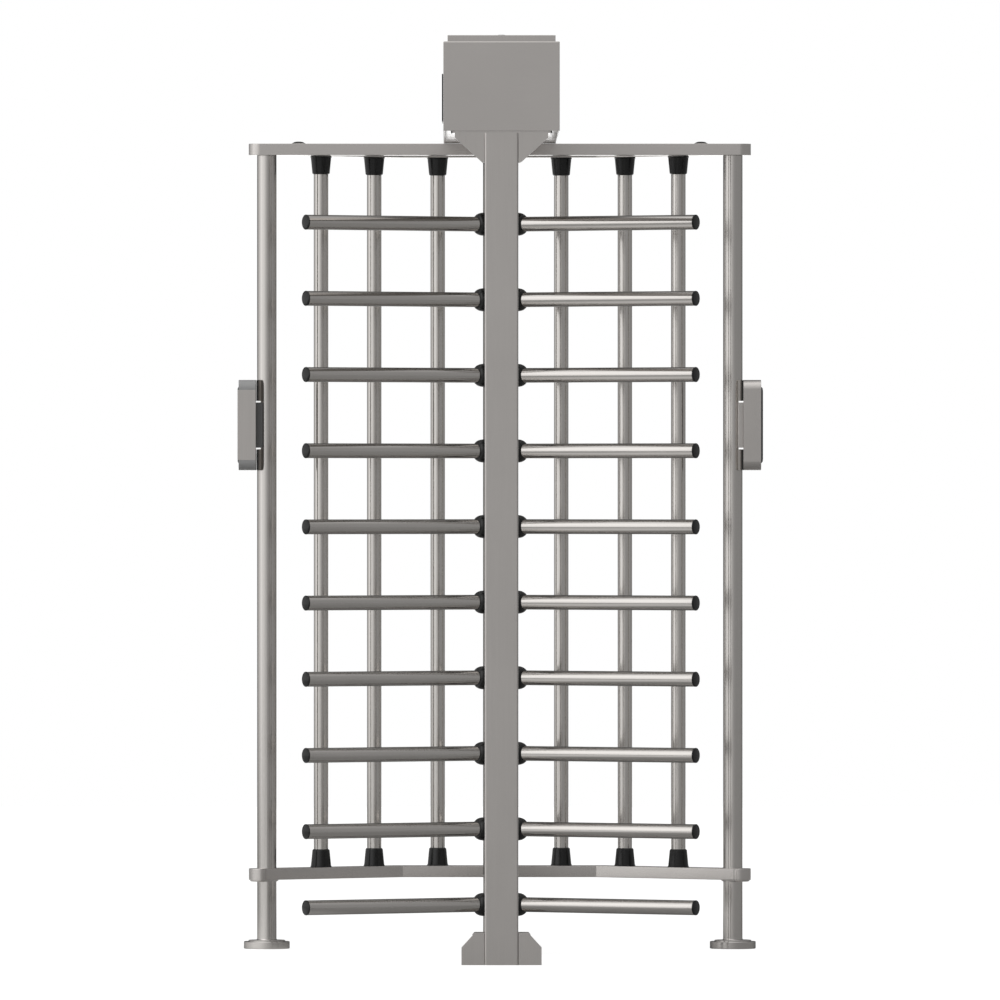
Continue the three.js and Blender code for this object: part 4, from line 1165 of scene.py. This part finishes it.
BOSS_REACH = 2.1467
PIN_TOP = 2.1596
pin_boss_outline = [
    (0, DECK_FOOT), (0.0165, DECK_FOOT), (0.0165, DECK_TOP + 0.0022),
    (0.0156, DECK_TOP + 0.003), (0.0125, DECK_TOP + 0.0034), (0.0125, BOSS_REACH - 0.0005),
    (0.012, BOSS_REACH), (0.006, BOSS_REACH), (0.006, PIN_TOP - 0.0006), (0.0054, PIN_TOP),
    (0, PIN_TOP),
]
clip_outline = [
    (0.0052, PIN_TOP), (0.0096, PIN_TOP), (0.0096, PIN_TOP + 0.0008),
    (0.0052, PIN_TOP + 0.0008), (0.0052, PIN_TOP),
]
copper = ground_steel("wound_copper", (0.62, 0.3, 0.16), 0.34, (1400, 5, 5), 0.12, 0.03)
COIL_BACK = -0.124
COIL_FROM = 0.0247
COIL_TO = 0.0627
CHEEK_THICK = 0.0026
FAR_CHEEK = 0.0354
CORE_END = 0.0379
cheek_outline = [
    (0, 0), (0.0156, 0), (0.016, 0.0004), (0.016, 0.0022), (0.0156, CHEEK_THICK),
    (0, CHEEK_THICK),
]
far_cheek_outline = [(radius, height + FAR_CHEEK) for radius, height in cheek_outline]
winding_outline = [
    (0, CHEEK_THICK), (0.0144, CHEEK_THICK), (0.0147, 0.0032), (0.0147, 0.0348),
    (0.0144, FAR_CHEEK), (0, FAR_CHEEK),
]
core_outline = [
    (0, -0.002), (0.0052, -0.002), (0.0056, -0.0016), (0.0056, CORE_END), (0, CORE_END),
]
strap_outline = [
    (0.0146, 0.014), (0.0159, 0.014), (0.0159, 0.024), (0.0146, 0.024), (0.0146, 0.014),
]
for side, hand in HANDS:
    pin_across, pin_back = side * 0.07, -0.08
    pin_boss = turned(f"{hand}_pawl_boss", pin_boss_outline, 48)
    put(pin_boss, (pin_across, pin_back, 0))
    fit(pin_boss, "frame", "zinc_plate", post_steel, "mechanism_deck")
    clip = turned(f"{hand}_pawl_clip", clip_outline, 40)
    put(clip, (pin_across, pin_back, 0))
    fit(clip, "frame", "hard_steel", hard_steel)
    bpy.ops.object.select_all(action="DESELECT")
    bpy.ops.mesh.primitive_circle_add(vertices=10, radius=0.0008, location=(0.0136, 0, 0))
    spring = bpy.context.object
    spring.name = spring.data.name = f"{hand}_pawl_spring"
    put(spring, spring.location, (90, 0, 0))
    coils = spring.modifiers.new("wind", "SCREW")
    coils.angle = math.tau
    coils.screw_offset = 0.0042
    coils.iterations = 6
    coils.steps = coils.render_steps = 28
    bpy.ops.object.modifier_apply(modifier="wind")
    put(spring, (pin_across, pin_back, DECK_TOP + 0.004))
    fit(spring, "frame", "hard_steel", post_steel)
    for part, outline, finish in (
        ("inner_cheek", cheek_outline, black_plastic),
        ("outer_cheek", far_cheek_outline, black_plastic),
        ("winding", winding_outline, copper),
        ("core", core_outline, hard_steel),
        ("strap", strap_outline, zinc),
    ):
        piece = turned(f"{hand}_magnet_{part}", outline, 48)
        put(piece, (side * COIL_FROM, COIL_BACK, WHEEL_MIDDLE), (0, side * 90, 0))
        fit(piece, "frame", "zinc_plate", finish, "mechanism_deck")
    from_x, to_x = sorted((side * (COIL_FROM + 0.0075), side * (COIL_TO - 0.0075)))
    stand = block(
        f"{hand}_magnet_stand",
        (from_x, COIL_BACK - 0.0155, DECK_FOOT),
        (to_x, COIL_BACK + 0.0155, 2.144),
    )
    bend(stand, 0.0015, 3, lambda edge: True)
    fit(stand, "frame", "zinc_plate", zinc, "mechanism_deck")
for pattern in (first_washer, first_nut, first_stud, first_screw):
    bpy.data.objects.remove(pattern)
